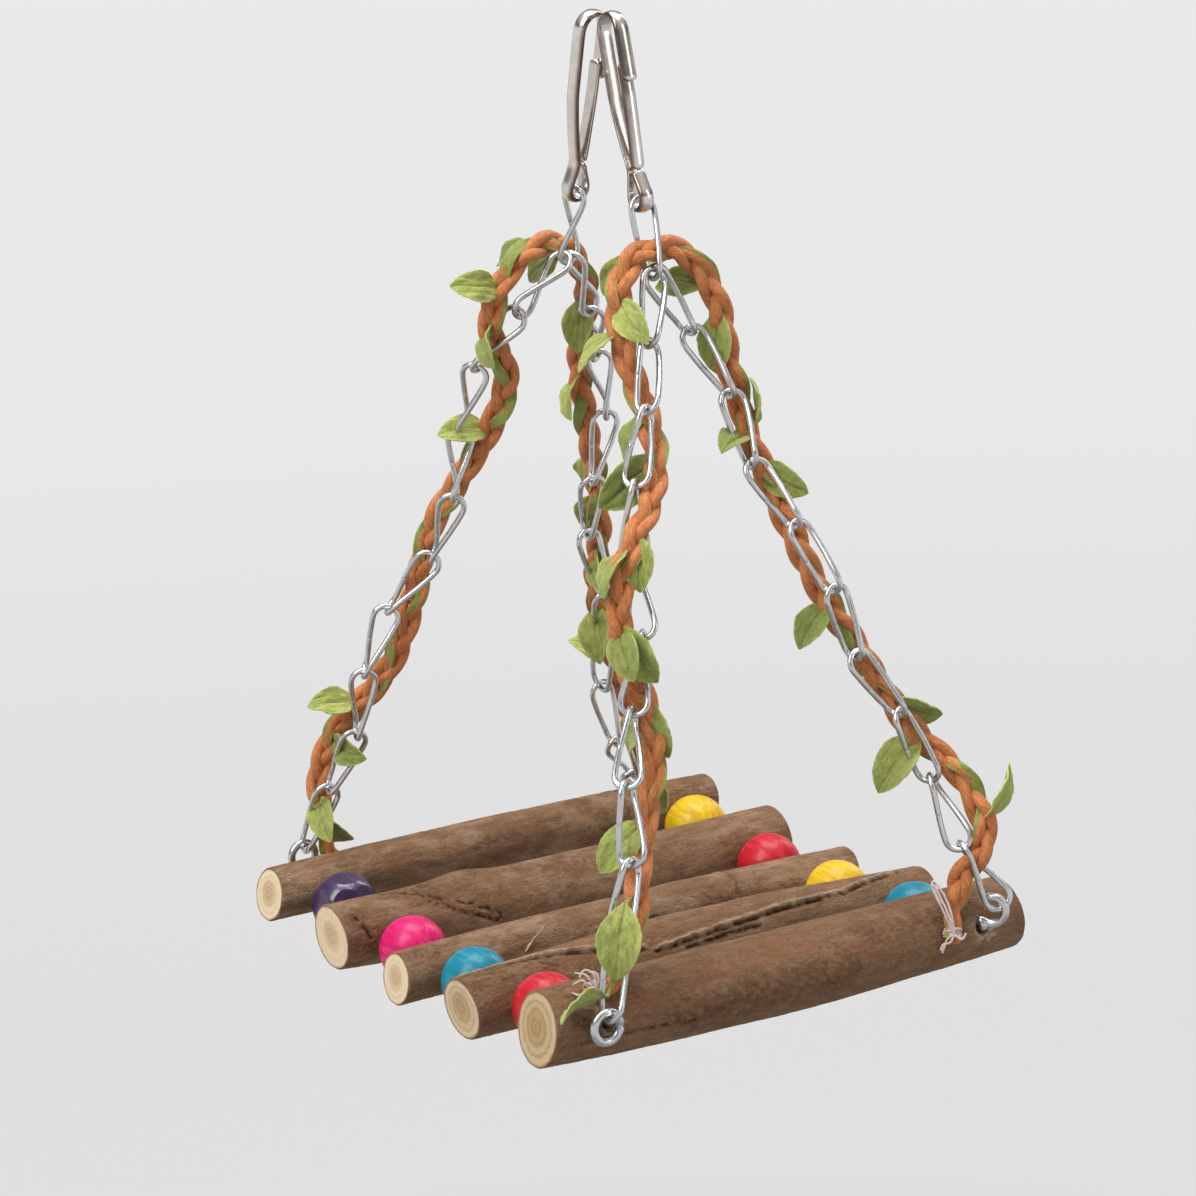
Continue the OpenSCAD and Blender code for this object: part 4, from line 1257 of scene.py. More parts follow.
class SWING_OT_perches(Maker):
    """Grows the five branch perches: bark, knots, sawn ends and drilled holes"""

    bl_idname = "swing.perches"
    bl_label = "Perches"

    rings = 260
    sides = 100

    def execute(self, context):
        bark = bark_finish(self.colours)
        sawn = sawn_finish(self.colours)
        for i in range(len(PERCH_DIAMETERS)):
            node = f"perch_{i + 1}"
            mesh = self.branch(i)
            mesh.materials.append(bark)
            mesh.materials.append(sawn)
            drilled = self.drill(mesh, i)
            piece(f"{node}_branch", drilled, [], node)
        splinter = self.splinter(2, x=-0.51, angle=168, lean=(0.6, -0.17, 0.78), height=8.0)
        piece("perch_3_splinter", splinter, [bark], "perch_3", replaces=False)
        return {"FINISHED"}

    def branch(self, i):
        """A whole perch: its form, bark and marks, closed with sawn ends."""
        r = PERCH_DIAMETERS[i] / 2
        p = PERCH_SHAPES[i]
        relief = self.sizes.bark_relief / MM
        n, m = self.rings, self.sides
        # Rings lie closer together towards the ends, so that the edges are crisp
        t = np.linspace(-1, 1, n)
        x = np.repeat(np.sin(t * math.pi / 2) * 0.35 + t * 0.65, m)
        angle = np.tile(360 * np.arange(m) / m, n)
        ca, sa = np.cos(np.radians(angle)), np.sin(np.radians(angle))
        radius = np.array([perch_radius(i, *at) for at in zip(x, angle)])
        read_at = i * PERCH_NOISE_STEP
        spots = np.stack([x * PERCH_LENGTH / 2 + read_at, radius * ca, radius * sa], 1)
        fine = np.array([rough_at(at, 0.9, (0.7, 1, 1), 4) for at in spots])
        radius += relief * 0.6 * (
            0.55 * np.array([rough_at(at, 0.35, (0.22, 1, 1), 5) for at in spots])
            + 0.35 * fine
            + 0.6 * np.array([rough_at(at, 0.09, (0.5, 1, 1), 2) for at in spots])
        )
        dent, red, dark, pale = self.bark_marks(i, x, angle, fine)
        edge = (1 - np.abs(x)) * PERCH_LENGTH / 2
        radius += dent * np.clip(edge / 1.5, 0, 1) - 0.3 * np.clip(1 - edge / 0.5, 0, 1) ** 2
        swell = 1 - (x / HOLE) ** 2
        tilt = np.where(x < 0, p[5], p[6]) * np.abs(x) ** 8
        bend = math.radians(p[4])
        points = np.stack(
            [
                x * PERCH_LENGTH / 2 + tilt * radius * sa,
                radius * ca + p[3] * r * swell * math.cos(bend),
                radius * sa + p[3] * r * swell * math.sin(bend),
            ],
            1,
        )
        skin = Skin()
        at = on_deck(perch_along(i))
        skin.add(
            moved(points, at), ring_faces(n, m, capped=False), 0, points + [read_at, 0, 0],
            shade=BARK_PALENESS[i], red=red, dark=dark, pale=pale, ring=1.0,
        )
        for last in (False, True):
            self.sawn_end(skin, points[-m:] if last else points[:m], at, i, last)
        return weld(skin.mesh(f"perch_{i + 1}", 42))

    def from_line(self, line, r, x, angle):
        """How far places on the bark are from a mark's line, below zero on one side of it."""
        away = np.full_like(x, 99.0)
        for (x0, a0), (x1, a1) in zip(line[:-1], line[1:]):
            along = (x - x0) * PERCH_LENGTH / 2
            around = np.radians((angle - a0 + 180) % 360 - 180) * r
            run, turn = (x1 - x0) * PERCH_LENGTH / 2, math.radians(a1 - a0) * r
            t = np.clip((along * run + around * turn) / (run**2 + turn**2), 0, 1)
            apart = np.hypot(along - t * run, around - t * turn)
            apart = np.where(around * run - along * turn < 0, -apart, apart)
            away = np.where(np.abs(apart) < np.abs(away), apart, away)
        return away

    def bark_marks(self, i, x, angle, ragged):
        """The marks' relief, and how red, dark and pale they are, at places on the bark."""
        dent, red, dark, pale = (np.zeros_like(x) for _ in range(4))
        for kind, width, depth, line in BARK_MARKS[i]:
            if kind == "ring":
                away = (x - line[0][0]) * PERCH_LENGTH / 2 + 0.8 * ragged
            else:
                away = self.from_line(line, PERCH_DIAMETERS[i] / 2, x, angle)
            u = away / width
            rough = np.clip(1.2 - np.abs(u + 0.9 * ragged), 0, 1)
            rough *= np.clip(0.7 + 2 * ragged, 0, 1.2)
            if kind == "split":
                u = u + 0.3 * ragged
                lip = hump(u + 0.55, 0.32)
                hollow = hump(u - 0.4, 0.45)
                hollow *= np.clip(0.75 + 1.4 * ragged, 0.2, 1.2)
                dent += depth * (0.42 * lip - 0.9 * hollow)
                # The hollow below the lip is darkened as painted shadow; the pale lip is torn wood
                dark = np.maximum(dark, np.clip(hollow * 1.2 - 0.1, 0, 1))
                pale = np.maximum(pale, np.clip(lip * 0.8, 0, 1))
            elif kind == "scrape":
                dent -= depth * rough
                red = np.maximum(red, np.clip(rough * 1.1, 0, 1))
            elif kind == "crack":
                hollow = hump(u + 0.4 * ragged, 0.6)
                hollow *= np.clip(1 + 2 * ragged, 0.3, 1.4)
                dent -= depth * hollow
                dark = np.maximum(dark, np.clip(hollow, 0, 1))
            elif kind == "stain":
                dent -= depth * rough
                dark = np.maximum(dark, 0.45 * rough)
                red = np.maximum(red, np.clip(1 - np.abs(u), 0, 1) * 0.4)
            elif kind == "scar":
                edge = hump(np.abs(u + 0.5 * ragged) - 0.75, 0.3)
                edge *= np.clip(0.8 + 2 * ragged, 0.1, 1.2)
                dent -= depth * edge
                dark = np.maximum(dark, 0.85 * edge)
                red = np.maximum(red, np.clip(1.5 - 1.6 * np.abs(u), 0, 1))
            elif kind == "chip":
                dent -= depth * rough
                pale = np.maximum(pale, np.clip(rough * 1.3, 0, 1))
            else:
                dent += depth * (hump(u, 1.0) - 0.6 * hump(u - 1.3, 0.5))
                dark = np.maximum(dark, 0.6 * hump(u - 1.3, 0.45))
        return dent, red, dark, pale

    def sawn_end(self, skin, rim, at, i, last):
        """A cut face of rings that close in on the pith, with fine steps left by the saw."""
        m = len(rim)
        heart = rim.mean(0) + np.array([0, 0.04, 0.05]) * PERCH_DIAMETERS[i]
        shares = [1.0, 0.985, 0.95, 0.9, 0.82, 0.72, 0.6, 0.48, 0.36, 0.24, 0.12, 0.03]
        inwards = -1 if last else 1
        points = []
        for share in shares:
            for q in heart + (rim - heart) * share:
                dent = 0.0
                if share < 0.99:
                    dent = 0.09 * rough_at((0, q[1], q[2] + 40 * i), 0.5, (1, 1, 1), 3)
                    dent += 0.05 * math.sin(q[1] * 2.4 + 1.5 * math.sin(q[2] * 0.35))
                    dent = abs(dent) + 0.06
                points.append(q + np.array([inwards * dent, 0, 0]))
        points = np.array(points + [heart])
        faces = ring_faces(len(shares), m, capped=False)
        inner = (len(shares) - 1) * m
        faces += [(inner + j, inner + (j + 1) % m, len(points) - 1) for j in range(m)]
        skin.add(
            moved(points, at), faces, 1, points + [i * PERCH_NOISE_STEP, 0, 0],
            shade=SAWN_PALENESS[i], ring=np.append(np.repeat(shares, m), 0.0),
        )

    def splinter(self, i, x, angle, lean, height):
        """A torn splinter that stands up from the bark, pale and split at its tip."""
        r = perch_radius(i, x, angle)
        a = math.radians(angle)
        root = np.array([x * PERCH_LENGTH / 2, (r - 0.5) * math.cos(a), (r - 0.5) * math.sin(a)])
        way = np.array(lean, float)
        skin = Skin()
        for side, share, bow in ((0.0, 1.0, 0.5), (0.3, 0.85, 1.6), (-0.3, 0.6, -0.5)):
            t = np.linspace(0, 1, 16)[:, None]
            line = root + way * height * share * t + np.array([side, 0, 0]) * t
            line = line + np.array([bow, 0, -0.3]) * (t**2)
            size = 1 - 0.8 * t[:, 0] + 0.15 * np.sin(9 * t[:, 0])
            skin.tube(
                moved(line, on_deck(perch_along(i))), circle(0.62 * share, 8, 0.5), swell=size,
                shade=1.0, red=0.0, dark=0.0, pale=1.0, ring=1.0,
            )
        return skin.mesh("splinter", 60)

    def drill(self, mesh, i):
        """Cuts the two wire holes, with ragged rims where the drill came out."""
        body = add_object("drilled", mesh)
        r, corners = PERCH_DIAMETERS[i] / 2, 24
        ys = np.linspace(-1.6 * r, 1.6 * r, 25)
        # Each hole opens by 0.55 within the last 1.6 before the bark
        flare = 0.55 * np.clip((np.abs(ys) - r + 1.6) / 1.6, 0, 1)
        flare += WIRE_DIAMETER / 2 + PERCH_BORE_CLEARANCE
        section = circle(1.0, corners)
        section *= (1 + 0.08 * np.sin(3 * np.arange(corners)))[:, None]
        tools = []
        for hand in (LEFT, RIGHT):
            path = np.array([(hand * WIRE_SPACING / 2, y, 0) for y in ys])
            bore = Skin()
            bore.tube(path, section, across=(0, 0, 1), swell=flare, slot=1,
                      shade=1.0, red=0.0, dark=0.0, pale=0.0, ring=0.6)
            tool = add_object("bore", bore.mesh("bore"))
            # The placing is in millimetres and the mesh in metres
            for step in (Matrix.Scale(1 / MM, 4), on_deck(perch_along(i)), Matrix.Scale(MM, 4)):
                tool.data.transform(step)
            for material in mesh.materials:
                tool.data.materials.append(material)
            cut = body.modifiers.new("bore", "BOOLEAN")
            cut.operation, cut.solver, cut.object = "DIFFERENCE", "EXACT", tool
            tools.append(tool)
        ready = body.evaluated_get(bpy.context.evaluated_depsgraph_get())
        drilled = bpy.data.meshes.new_from_object(ready)
        for used in (*tools, body):
            bpy.data.objects.remove(used)
        return drilled


class SWING_OT_beads(Maker):
    """Turns and paints the eight beads, one of them cut with flat facets"""

    bl_idname = "swing.beads"
    bl_label = "Beads"

    row = {
        LEFT: ["red", "blue", "pink", "purple"],
        RIGHT: ["blue", "yellow", "red", "yellow"],
    }
    # Rows of flats round the purple bead: how many, first angle, tilt and depth from its middle
    flats = ((5, 20, 0, 7.2), (5, 56, 54, 7.2), (5, 56, -54, 7.2))

    def execute(self, context):
        paints = {}
        for name in ("red", "blue", "pink", "purple", "yellow"):
            tone = tuple(getattr(self.colours, name))
            paints[name] = paint_finish(f"{name}_paint", tone, name == "purple")
        for hand, side in HANDS:
            for i, paint in enumerate(self.row[hand]):
                node = f"bead_{side}_{i + 1}"
                at = on_deck(bead_along(i), hand * WIRE_SPACING / 2)
                turned = self.ball(at, i * 10 + hand)
                if paint == "purple":
                    self.cut_facets(turned, at)
                piece(f"{node}_painted", turned, [paints[paint]], node)
        return {"FINISHED"}

    def ball(self, at, seed):
        """A ball on the wire with rounded rims at its bore, turned from one profile."""
        ball_r, half, flat_r = BEAD_DIAMETER / 2, BEAD_LENGTH / 2, 2.7
        bore = WIRE_DIAMETER / 2 + BEAD_BORE_CLEARANCE
        profile = [(bore, y) for y in (0.0, 0.5 * half, half - 0.8)]
        profile += [
            (bore + 0.5 * (1 - math.cos(t)), half - 0.55 + 0.5 * math.sin(t))
            for t in np.linspace(0.1, math.pi / 2, 5)
        ]
        start = math.asin(flat_r / ball_r)
        for t in np.linspace(start, math.pi / 2, 30):
            profile.append((ball_r * math.sin(t), ball_r * math.cos(t)))
        profile += [(r, -y) for r, y in profile[-2::-1]]
        n, m = 72, len(profile)
        points, faces = [], []
        for k in range(n):
            a = 2 * math.pi * k / n
            points += [(r * math.cos(a), y, r * math.sin(a)) for r, y in profile]
            this, after = k * m, (k + 1) % n * m
            for j in range(m - 1):
                faces.append((this + j, this + j + 1, after + j + 1, after + j))
        points = np.array(points)
        skin = Skin()
        skin.add(moved(points, at), faces, 0, points + [seed * 13, 0, seed * 5])
        return weld(skin.mesh("bead", 50))

    def cut_facets(self, mesh, at):
        """Flat cuts all round a ball, which leave curved edges between them."""
        made = bmesh.new()
        made.from_mesh(mesh)
        centre = Vector(at.translation)
        turn = at.to_3x3()
        for count, first, tilt, depth in self.flats:
            for k in range(count):
                a = math.radians(360 / count * k + first)
                e = math.radians(tilt)
                way = turn @ Vector(
                    (math.cos(a) * math.cos(e), math.sin(e), math.sin(a) * math.cos(e))
                )
                cut = bmesh.ops.bisect_plane(
                    made, geom=made.verts[:] + made.edges[:] + made.faces[:],
                    plane_co=(centre + way * depth) * MM, plane_no=way, clear_outer=True,
                )
                rim = [part for part in cut["geom_cut"] if isinstance(part, bmesh.types.BMEdge)]
                bmesh.ops.holes_fill(made, edges=rim, sides=0)
        bmesh.ops.recalc_face_normals(made, faces=made.faces)
        made.to_mesh(mesh)
        made.free()
        mesh.shade_smooth()
        mesh.set_sharp_from_angle(angle=math.radians(9))


class SWING_OT_vines(Maker):
    """Plaits each vine from three waxed cords and a leaf ribbon"""

    bl_idname = "swing.vines"
    bl_label = "Plaited Vines"

    def execute(self, context):
        cord = cord_finish(self.colours)
        ribbon = leaf_finish("ribbon_fabric", self.colours, 0.7)
        for name, route in VINE_ROUTES.items():
            skin, band = Skin(), Skin()
            loose = [np.array(way) for way in LOOSE_ENDS[name]]
            self.plait(skin, band, route, loose, {"near": 1, "far": 2}[name])
            node = f"vine_{name}"
            piece(f"{node}_cords", skin.mesh(node, 70), [cord], node)
            mesh = band.mesh(f"{node}_ribbon", 70)
            piece(f"{node}_ribbon", mesh, [ribbon], node)
        return {"FINISHED"}

    def plait(self, skin, band, route, loose, seed):
        """Three cords that cross over and under each other, and a ribbon laid in with them."""
        given = self.sizes
        r, width = given.cord_thickness / MM / 2, given.ribbon_width / MM / 2
        reach, depth = given.plait_reach / MM, given.plait_depth / MM
        route = np.array(route, float)
        first, last = route[0] + loose[0] @ VIEW_AXES, route[-1] + loose[1] @ VIEW_AXES
        path = eased([first, *route, last], 0.5)
        heads = headings(path)
        wide = np.cross(heads, FRONT)
        wide /= np.linalg.norm(wide, axis=1)[:, None]
        thick = np.cross(wide, heads)
        run = run_of(path)
        slow = drift_along(run, 0.03, seed)
        turn = 2 * math.pi * (run / (given.plait_repeat / MM) + 0.12 * slow)
        swing = 1 + 0.2 * drift_along(run, 0.06, seed + 5)
        # The cords close up where they are tied, and part again at their loose ends
        tied = np.minimum(run, run[-1] - run) - 7
        close = 0.45 + 0.55 * np.clip(tied / 6, 0, 1)
        for i in range(3):
            a = turn + 2 * math.pi * i / 3
            line = (
                path
                + (reach * swing * close * np.sin(a))[:, None] * wide
                + (depth * close * np.sin(2 * a))[:, None] * thick
            )
            fat = 1 + 0.09 * drift_along(run, 0.25, seed + 11 + i)
            fat *= 0.72 + 0.28 * np.clip(np.abs(tied) / 2.5, 0, 1)
            # The cords are cut one after the other, and their round ends add three rings each
            kept = slice(3 * i, len(line) - 2 * i)
            line, sizes = round_ends(line[kept], r * 0.8, 3)
            fat = np.concatenate([[fat[0]] * 3, fat[kept], [fat[-1]] * 3]) * sizes
            start = i * 900.0 + seed * 50
            skin.tube(line, circle(r, 14, 0.94), swell=fat, start=start, twist=0.05)
        slack = 1.6 * drift_along(run, 0.045, seed + 41)
        a = turn + 2 * math.pi / 3
        line = (
            path
            + (reach * 1.08 * swing * close * np.sin(a))[:, None] * wide
            + (depth * close * np.sin(2 * a) + r * (0.55 + 0.55 * slack))[:, None] * thick
        )
        lean = 0.9 * drift_along(run, 0.11, seed + 31)
        over = wide + np.sin(lean)[:, None] * thick
        # The ribbon's section is a flat oval
        flat = circle(1.0, 12) * [width, 0.2]
        fat = 1 + 0.3 * drift_along(run, 0.17, seed + 43)
        fat *= 0.6 + 0.4 * np.clip(np.abs(tied) / 3, 0, 1)
        band.tube(line, flat, across=over, swell=fat, start=seed * 70.0, shade=0.3, vein=0.0,
                  rim=0.0)


class SWING_OT_leaves(Maker):
    """Cuts and sets the fabric leaves along both vines"""

    bl_idname = "swing.leaves"
    bl_label = "Leaves"

    def execute(self, context):
        finish = leaf_finish("leaf_fabric", self.colours, 1.0)
        for name, table in LEAVES.items():
            skin = Skin()
            route = np.array(VINE_ROUTES[name], float)
            for seed, row in enumerate(table, 40 if name == "far" else 0):
                self.leaf(skin, route, row, seed)
            node = f"leaves_{name}"
            piece(f"{node}_cut", skin.mesh(node, 60), [finish], node)
        return {"FINISHED"}

    def leaf(self, skin, route, row, seed):
        """A leaf pointed at both ends: arched, folded at its rib, frilled and crinkled."""
        step, heading, dip, turn, size = row[:5]
        i = min(int(step), len(route) - 2)
        spot = route[i] + (step - i) * (route[i + 1] - route[i])
        if len(row) > 5:
            root, spot = spot, spot + np.array(row[5]) @ VIEW_AXES
            stem = eased([root, (root + spot) / 2 + [0, 0, 0.8], spot], 0.4)
            skin.tube(stem, circle(0.5, 8, 0.6), shade=0.4, vein=0.0, rim=0.0)
        at = place(spot, (heading, "Z"), (-dip, "Y"), (turn, "X"))
        grid, veins, rims = self.leaf_form(size, seed)
        du, dv = np.gradient(grid, axis=0), np.gradient(grid, axis=1)
        normal = np.cross(du, dv)
        normal /= np.linalg.norm(normal, axis=2)[:, :, None]
        half_thick = self.sizes.leaf_thickness / MM / 2
        top = (grid + normal * half_thick).reshape(-1, 3)
        under = (grid - normal * half_thick).reshape(-1, 3)
        shade = 0.42 + 0.75 * drift_at(seed * 2.3, 9)
        grain = np.vstack([grid.reshape(-1, 3)] * 2) + [0, 0, seed * 11.0]
        skin.add(
            moved(np.vstack([top, under]), at), sheet_faces(*grid.shape[:2]), 0, grain,
            shade=min(1, max(0, shade)), vein=np.tile(veins, 2), rim=np.tile(rims, 2),
        )

    def leaf_form(self, size, seed):
        """The middle of a leaf's fabric as a grid, and how near its points are to rib and rim."""
        long, wide = LEAF_LENGTH * size, LEAF_WIDTH * size
        side_r = (long**2 + wide**2) / (4 * wide)
        curl_r = LEAF_LENGTH * 1.1
        arch = curl_r - math.sqrt(curl_r**2 - long**2 / 4)
        n, m = 37, 21
        fold = 0.55 + 0.9 * drift_at(seed * 3.7, 3)
        bow = 0.8 * drift_at(seed * 1.9, 21)
        grid, veins, rims = [], [], []
        for j in range(n):
            t = j / (n - 1)
            x = t * long
            half = math.sqrt(side_r**2 - (x - long / 2) ** 2) - (side_r - wide / 2)
            half *= 1 + 0.2 * math.sin(math.pi * t) * (0.4 - t)
            half = max(half, 0.6 * (1 - t) ** 3, 0.06)
            spine = arch - curl_r + math.sqrt(curl_r**2 - (x - long / 2) ** 2)
            body = math.sin(math.pi * t)
            for k in range(m):
                w = 2 * k / (m - 1) - 1
                y = w * half * (1 + 0.04 * noise.noise(Vector((x * 0.9, w * 3, seed))))
                frill = 0.1 * half * math.sin(8 * t + 5 * drift_at(seed, 1) + 2 * w) * abs(w) ** 3
                rib = abs(w) * half
                vein = math.exp(-((rib / 0.16) ** 2)) * (1 - t) ** 0.5
                cloth = noise.fractal(Vector((x * 0.28, y * 0.7, seed * 9.3)), 0.8, 2.0, 4)
                z = (
                    spine
                    + fold * rib * 0.42
                    + bow * body * w
                    + 0.5 * drift_at(seed * 5.1 + x * 0.22, y * 0.12 + 4) * body
                    + 0.34 * cloth * min(1, 3 * body)
                    + frill - 0.12 * vein
                )
                grid.append((x, y, z))
                veins.append(vein)
                rims.append(abs(w) ** 8)
        return np.array(grid).reshape(n, m, 3), veins, rims


# Loose thread at the vines' ends, as (right, up, towards the viewer) from the tie: the bow and
# tails that the near vine's right end shows, and the tuft at its left end
BOW = [
    [(0, 0.4, 1.6), (-1.6, 4, 2), (-3.4, 8, 2), (-4.6, 11, 1.2), (-4.2, 11.8, 1), (-2.4, 9.6, 1.6),
     (-0.6, 5.4, 2.2), (0.4, 0.6, 2)],
    [(0.2, 0.2, 1.8), (-2.4, 5.6, 2.2), (-4.4, 9.8, 1.6), (-4.9, 11.2, 1.4), (-3.9, 10.4, 1.8),
     (-1, 4.2, 2.4), (0.4, 0, 2)],
    [(0, 0, 2), (-1.4, -1.4, 2.2), (-2, -2.8, 2.2), (-2.4, -4.2, 2)],
    [(0.4, 0, 2), (-0.6, -1.8, 2.2), (-2.2, -2.4, 2.2), (-2.8, -3.8, 2)],
    [(0.2, 0, 2), (1.4, -0.8, 2.2), (2.4, -0.9, 2.2), (3, 0.2, 2)],
]
TUFT = [
    [(0, 0, 1), (-1.2, 1.6, 2), (-2.6, 2.6, 2), (-4.4, 1.6, 1.6)],
    [(0, 0.2, 1), (-0.4, 2.2, 2), (-1.8, 3.8, 2), (-4, 4, 1.4)],
    [(-0.2, 0, 1), (-1.6, -0.6, 1.8), (-2.8, -1.8, 1.6), (-3.2, -3, 1.2)],
    [(0, 0, 1), (0.6, 2, 2), (0, 4, 2), (-1.8, 4.8, 1.8), (-3, 3.2, 1.8)],
    [(-0.4, -0.2, 1), (-1.8, 0.2, 2), (-3, -0.6, 2), (-4.6, 0, 1.6)],
    [(0, 0.4, 1), (0.8, 1.4, 2), (1.2, 3, 2), (0.4, 4.4, 1.8), (-1, 4.2, 1.8)],
]


class SWING_OT_ties(Maker):
    """Winds the tying threads and frays the ends of the vines"""

    bl_idname = "swing.ties"
    bl_label = "Ties"

    def execute(self, context):
        finish, cord = thread_finish(self.colours), cord_finish(self.colours)
        skin, fibres = Skin(), Skin()
        r = self.sizes.thread_thickness / MM / 2
        for number, (name, route) in enumerate(VINE_ROUTES.items()):
            for last in (False, True):
                ends = np.array(route[::-1] if last else route, float)
                way = np.array(LOOSE_ENDS[name][last]) @ VIEW_AXES
                loose = ends[0] + way
                self.whipping(skin, loose, unit(-way), r, number * 60.0 + 20 * last)
                tie = loose - unit(way) * 1.5
                self.fray(fibres, loose, unit(way), number * 2 + last)
                if name == "near":
                    self.strands(skin, tie, BOW if last else TUFT, r * (1.0 if last else 0.8))
        node = "vine_ties"
        piece(f"{node}_thread", skin.mesh(node, 60), [finish], node)
        mesh = fibres.mesh("vine_ends", 60)
        piece("vine_ends_fibres", mesh, [cord], node, replaces=False)
        return {"FINISHED"}

    def whipping(self, skin, end, d, r, start):
        """Thread wound round the plait just above its end."""
        first = unit(np.cross(d, FRONT))
        second = np.cross(d, first)
        t = np.linspace(0, 1, 110)
        a = 2 * math.pi * 4.5 * t
        wind = 2.0 + 0.2 * np.sin(a * 1.7 + start)
        line = (
            end + d * (0.2 + 2.6 * t)[:, None]
            + (wind * np.cos(a))[:, None] * first
            + (wind * np.sin(a))[:, None] * second
        )
        skin.tube(line, circle(r, 8), start=start)

    def strands(self, skin, tie, table, r):
        """Loose thread ends and loops, laid out as they are seen from the front."""
        right, up, back = VIEW_AXES
        for k, row in enumerate(table):
            line = eased([tie + a * right + b * up + c * back for a, b, c in row], 0.25)
            run = run_of(line)
            shake = 0.25 * drift_along(run, 0.8, 50 + k)[:, None]
            size = 1 + 0.3 * drift_along(run, 1.4, 70 + k)
            skin.tube(line + shake * up, circle(r, 7), swell=size, start=k * 30.0)

    def fray(self, skin, tip, way, seed):
        """Fine fibres that stand out of a cut cord end."""
        right, up, back = VIEW_AXES
        for k in range(16):
            a = 2.4 * k + seed
            out = math.cos(a) * right + math.sin(a) * back
            lean = way + 0.55 * out + 0.25 * math.sin(3 * a) * up
            t = np.linspace(0, 1, 9)[:, None]
            reach = 1.2 + 0.8 * math.sin(1.7 * a)
            line = tip - way * 0.9 + 0.7 * out + lean * reach * t
            line = line + 0.5 * math.sin(2.1 * a) * t**2 * back
            skin.tube(line, circle(0.12, 5), swell=1 - 0.7 * t[:, 0], start=seed * 9.0 + k)


# The floor: height, half width and squares along a side, in metres where it is a length
FLOOR_Z, FLOOR_REACH, FLOOR_SQUARES = -0.62, 26.0, 40
# Soft boxes: name, azimuth from the viewer's, elevation, distance, width, height and power
SOFT_BOXES = [
    ("key", -48, 46, 1.2, 0.55, 0.8, 10),
    ("fill", 66, 24, 1.3, 0.3, 0.9, 1.8),
    ("top", 170, 80, 1.1, 0.9, 0.6, 11),
    ("rim", 142, 30, 1.4, 0.3, 0.9, 3),
]
# The studio round the swing, from the horizon up
STUDIO_WALLS = [
    (0.0, (0.8, 0.8, 0.8)), (0.17, (0.78, 0.78, 0.78)), (0.25, (0.08, 0.068, 0.06)),
    (0.38, (0.2, 0.19, 0.18)), (0.6, (0.45, 0.45, 0.45)), (1.0, (0.75, 0.75, 0.75)),
]


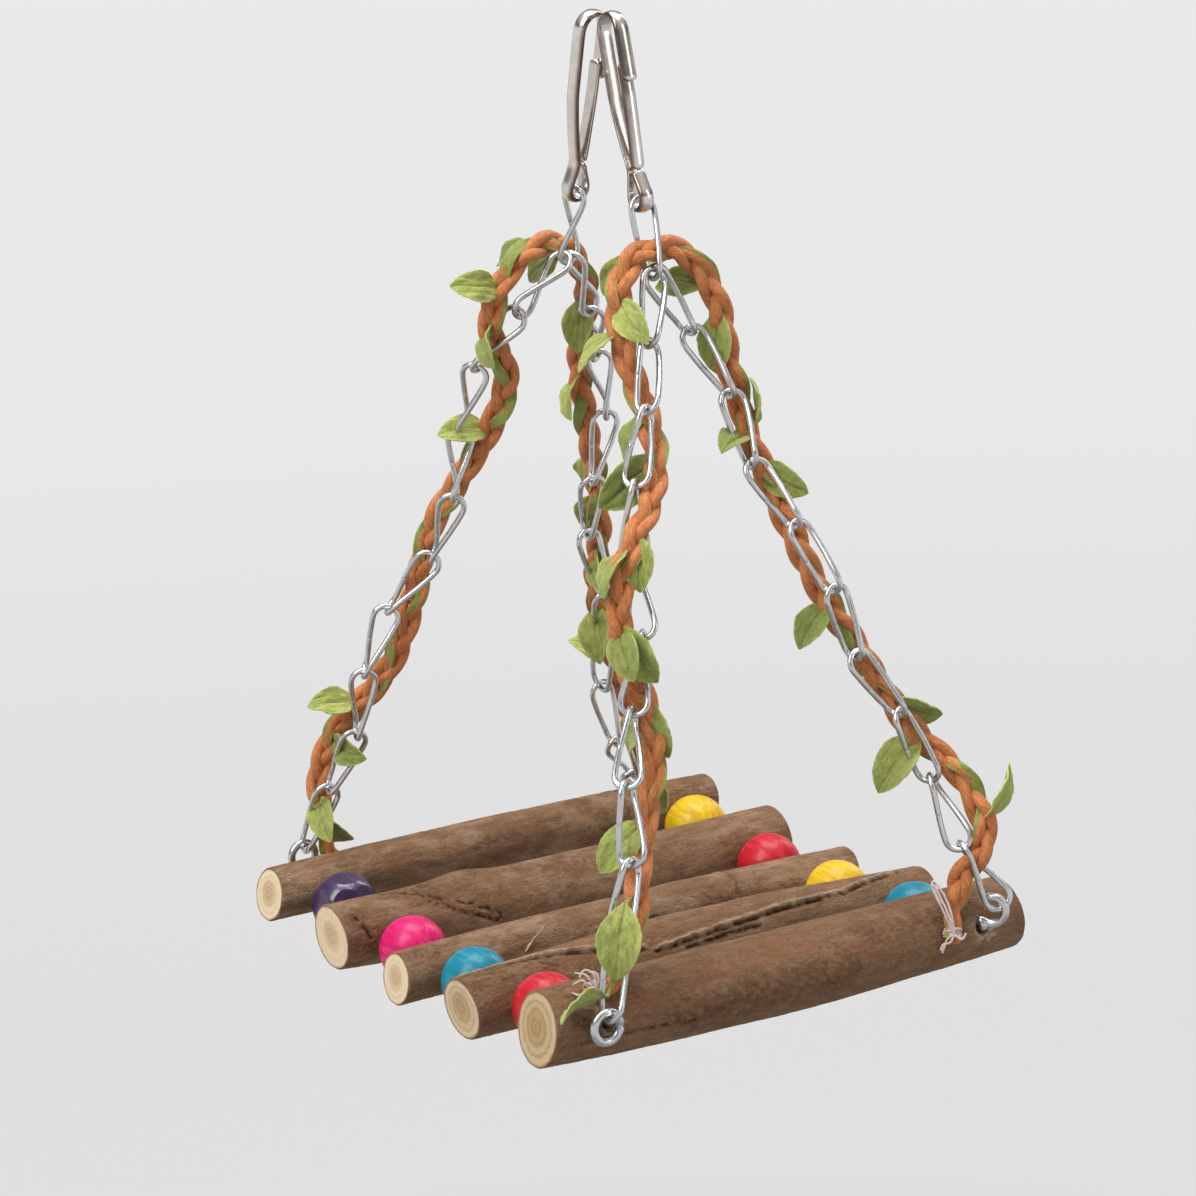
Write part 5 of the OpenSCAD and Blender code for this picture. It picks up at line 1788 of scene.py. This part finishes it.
class SWING_OT_stage(Maker):
    """Sets the pale floor, the soft studio light and the camera"""

    bl_idname = "swing.stage"
    bl_label = "Stage"

    def execute(self, context):
        self.floor()
        self.world()
        for box in SOFT_BOXES:
            self.soft_box(*box)
        self.camera(context)
        return {"FINISHED"}

    def floor(self):
        """A wide floor that glows evenly in place of a lit sweep, with a painted soft shadow that
        darkens it under the swing.
        """
        f = Finish("floor", Base_Color=(0.05, 0.05, 0.05), Roughness=0.9,
                   Specular_IOR_Level=0.1, Emission_Strength=1.0)
        reach = f.node(
            "ShaderNodeVectorMath", {"operation": "LENGTH"}, {0: f.grain((1, 1, 0))}, 1
        )
        tone = f.cloud(f.grain(), 1.5, 3)
        c = tuple(self.colours.floor)
        f.set(
            # The glow's colour: a painted soft shadow, darkest within 0.5 m of the swing and
            # easing out to 3.2 m, then the even floor tone
            Emission_Color=f.mix(
                reach.between(0.5, 0.85), darker(c, 0.4),
                f.mix(reach.between(0.8, 3.2), darker(c, 0.88), f.mix(tone, darker(c, 0.99), c)),
            )
        )
        n = FLOOR_SQUARES
        lines = [FLOOR_REACH * (2 * j / n - 1) for j in range(n + 1)]
        corners = [j * (n + 1) + k for j in range(n) for k in range(n)]
        skin = Skin()
        skin.add(
            [(x, y, FLOOR_Z) for x in lines for y in lines],
            [(a, a + n + 1, a + n + 2, a + 1) for a in corners],
        )
        mesh = skin.mesh("floor", scale=1.0)
        mesh.materials.append(f.material)
        floor = add_object("floor", mesh)

    def world(self):
        """The studio's walls as the polished pieces mirror them, by height."""
        world = bpy.data.worlds.new("studio")
        bpy.context.scene.world = world
        studio = Nodes(world)
        generated = studio.node("ShaderNodeTexCoord")
        height = studio.node("ShaderNodeSeparateXYZ", None, {0: generated}, 2)
        walls = studio.node("ShaderNodeValToRGB", {"stops": STUDIO_WALLS}, {0: height})
        sky = studio.tree.nodes["Background"]
        studio.feed(sky.inputs["Color"], walls)
        studio.feed(sky.inputs["Strength"], 1.0)

    def soft_box(self, title, azimuth, elevation, distance, width, height, power):
        data = bpy.data.lights.new(title, "AREA")
        data.shape, data.size, data.size_y, data.energy = "RECTANGLE", width, height, power
        lamp = add_object(title, data)
        az, el = math.radians(VIEW_AZIMUTH + azimuth), math.radians(elevation)
        way = Vector(
            (math.sin(az) * math.cos(el), -math.cos(az) * math.cos(el), math.sin(el))
        )
        lamp.location = Vector((0, 0, VIEW_AIM_Z * MM)) + way * distance
        lamp.rotation_euler = way.to_track_quat("Z", "Y").to_euler()

    def camera(self, context):
        right, up, back = VIEW_AXES
        data = bpy.data.cameras.new("camera")
        data.sensor_fit, data.sensor_width, data.lens = "HORIZONTAL", 36, VIEW_LENS
        data.clip_start, data.clip_end = 0.01, 100
        camera = add_object("camera", data)
        spot = (np.array([0, 0, VIEW_AIM_Z]) + back * VIEW_DISTANCE + right * VIEW_AIM_X) * MM
        m = Matrix.Identity(4)
        for k, axis in enumerate((right, up, back)):
            for row in range(3):
                m[row][k] = axis[row]
        m.translation = Vector(spot)
        camera.matrix_world = m
        context.scene.camera = camera


class SWING_PT_panel(bpy.types.Panel):
    """The swing's makers in the sidebar"""

    bl_label = "Bird Swing"
    bl_idname = "SWING_PT_panel"
    bl_space_type = "VIEW_3D"
    bl_region_type = "UI"
    bl_category = "Bird Swing"

    def draw(self, context):
        layout = self.layout
        for maker in MAKERS:
            layout.operator(maker.bl_idname)
        for group in (context.scene.swing_sizes, context.scene.swing_colours):
            box = layout.box()
            for key in group.__annotations__:
                box.prop(group, key)


MAKERS = (
    SWING_OT_stage,
    SWING_OT_clips,
    SWING_OT_links,
    SWING_OT_wires,
    SWING_OT_perches,
    SWING_OT_beads,
    SWING_OT_vines,
    SWING_OT_leaves,
    SWING_OT_ties,
)
CLASSES = (SwingSizes, SwingColours) + MAKERS + (SWING_PT_panel,)


def register():
    for made in CLASSES:
        bpy.utils.register_class(made)
    bpy.types.Scene.swing_sizes = PointerProperty(type=SwingSizes)
    bpy.types.Scene.swing_colours = PointerProperty(type=SwingColours)


def unregister():
    del bpy.types.Scene.swing_colours
    del bpy.types.Scene.swing_sizes
    for made in reversed(CLASSES):
        bpy.utils.unregister_class(made)


def main():
    register()
    bpy.context.scene.view_settings.view_transform = "Standard"
    bpy.ops.swing.stage()
    bpy.ops.swing.clips()
    bpy.ops.swing.links()
    bpy.ops.swing.wires()
    bpy.ops.swing.perches()
    bpy.ops.swing.beads()
    bpy.ops.swing.vines()
    bpy.ops.swing.leaves()
    bpy.ops.swing.ties()


if __name__ == "__main__":
    main()
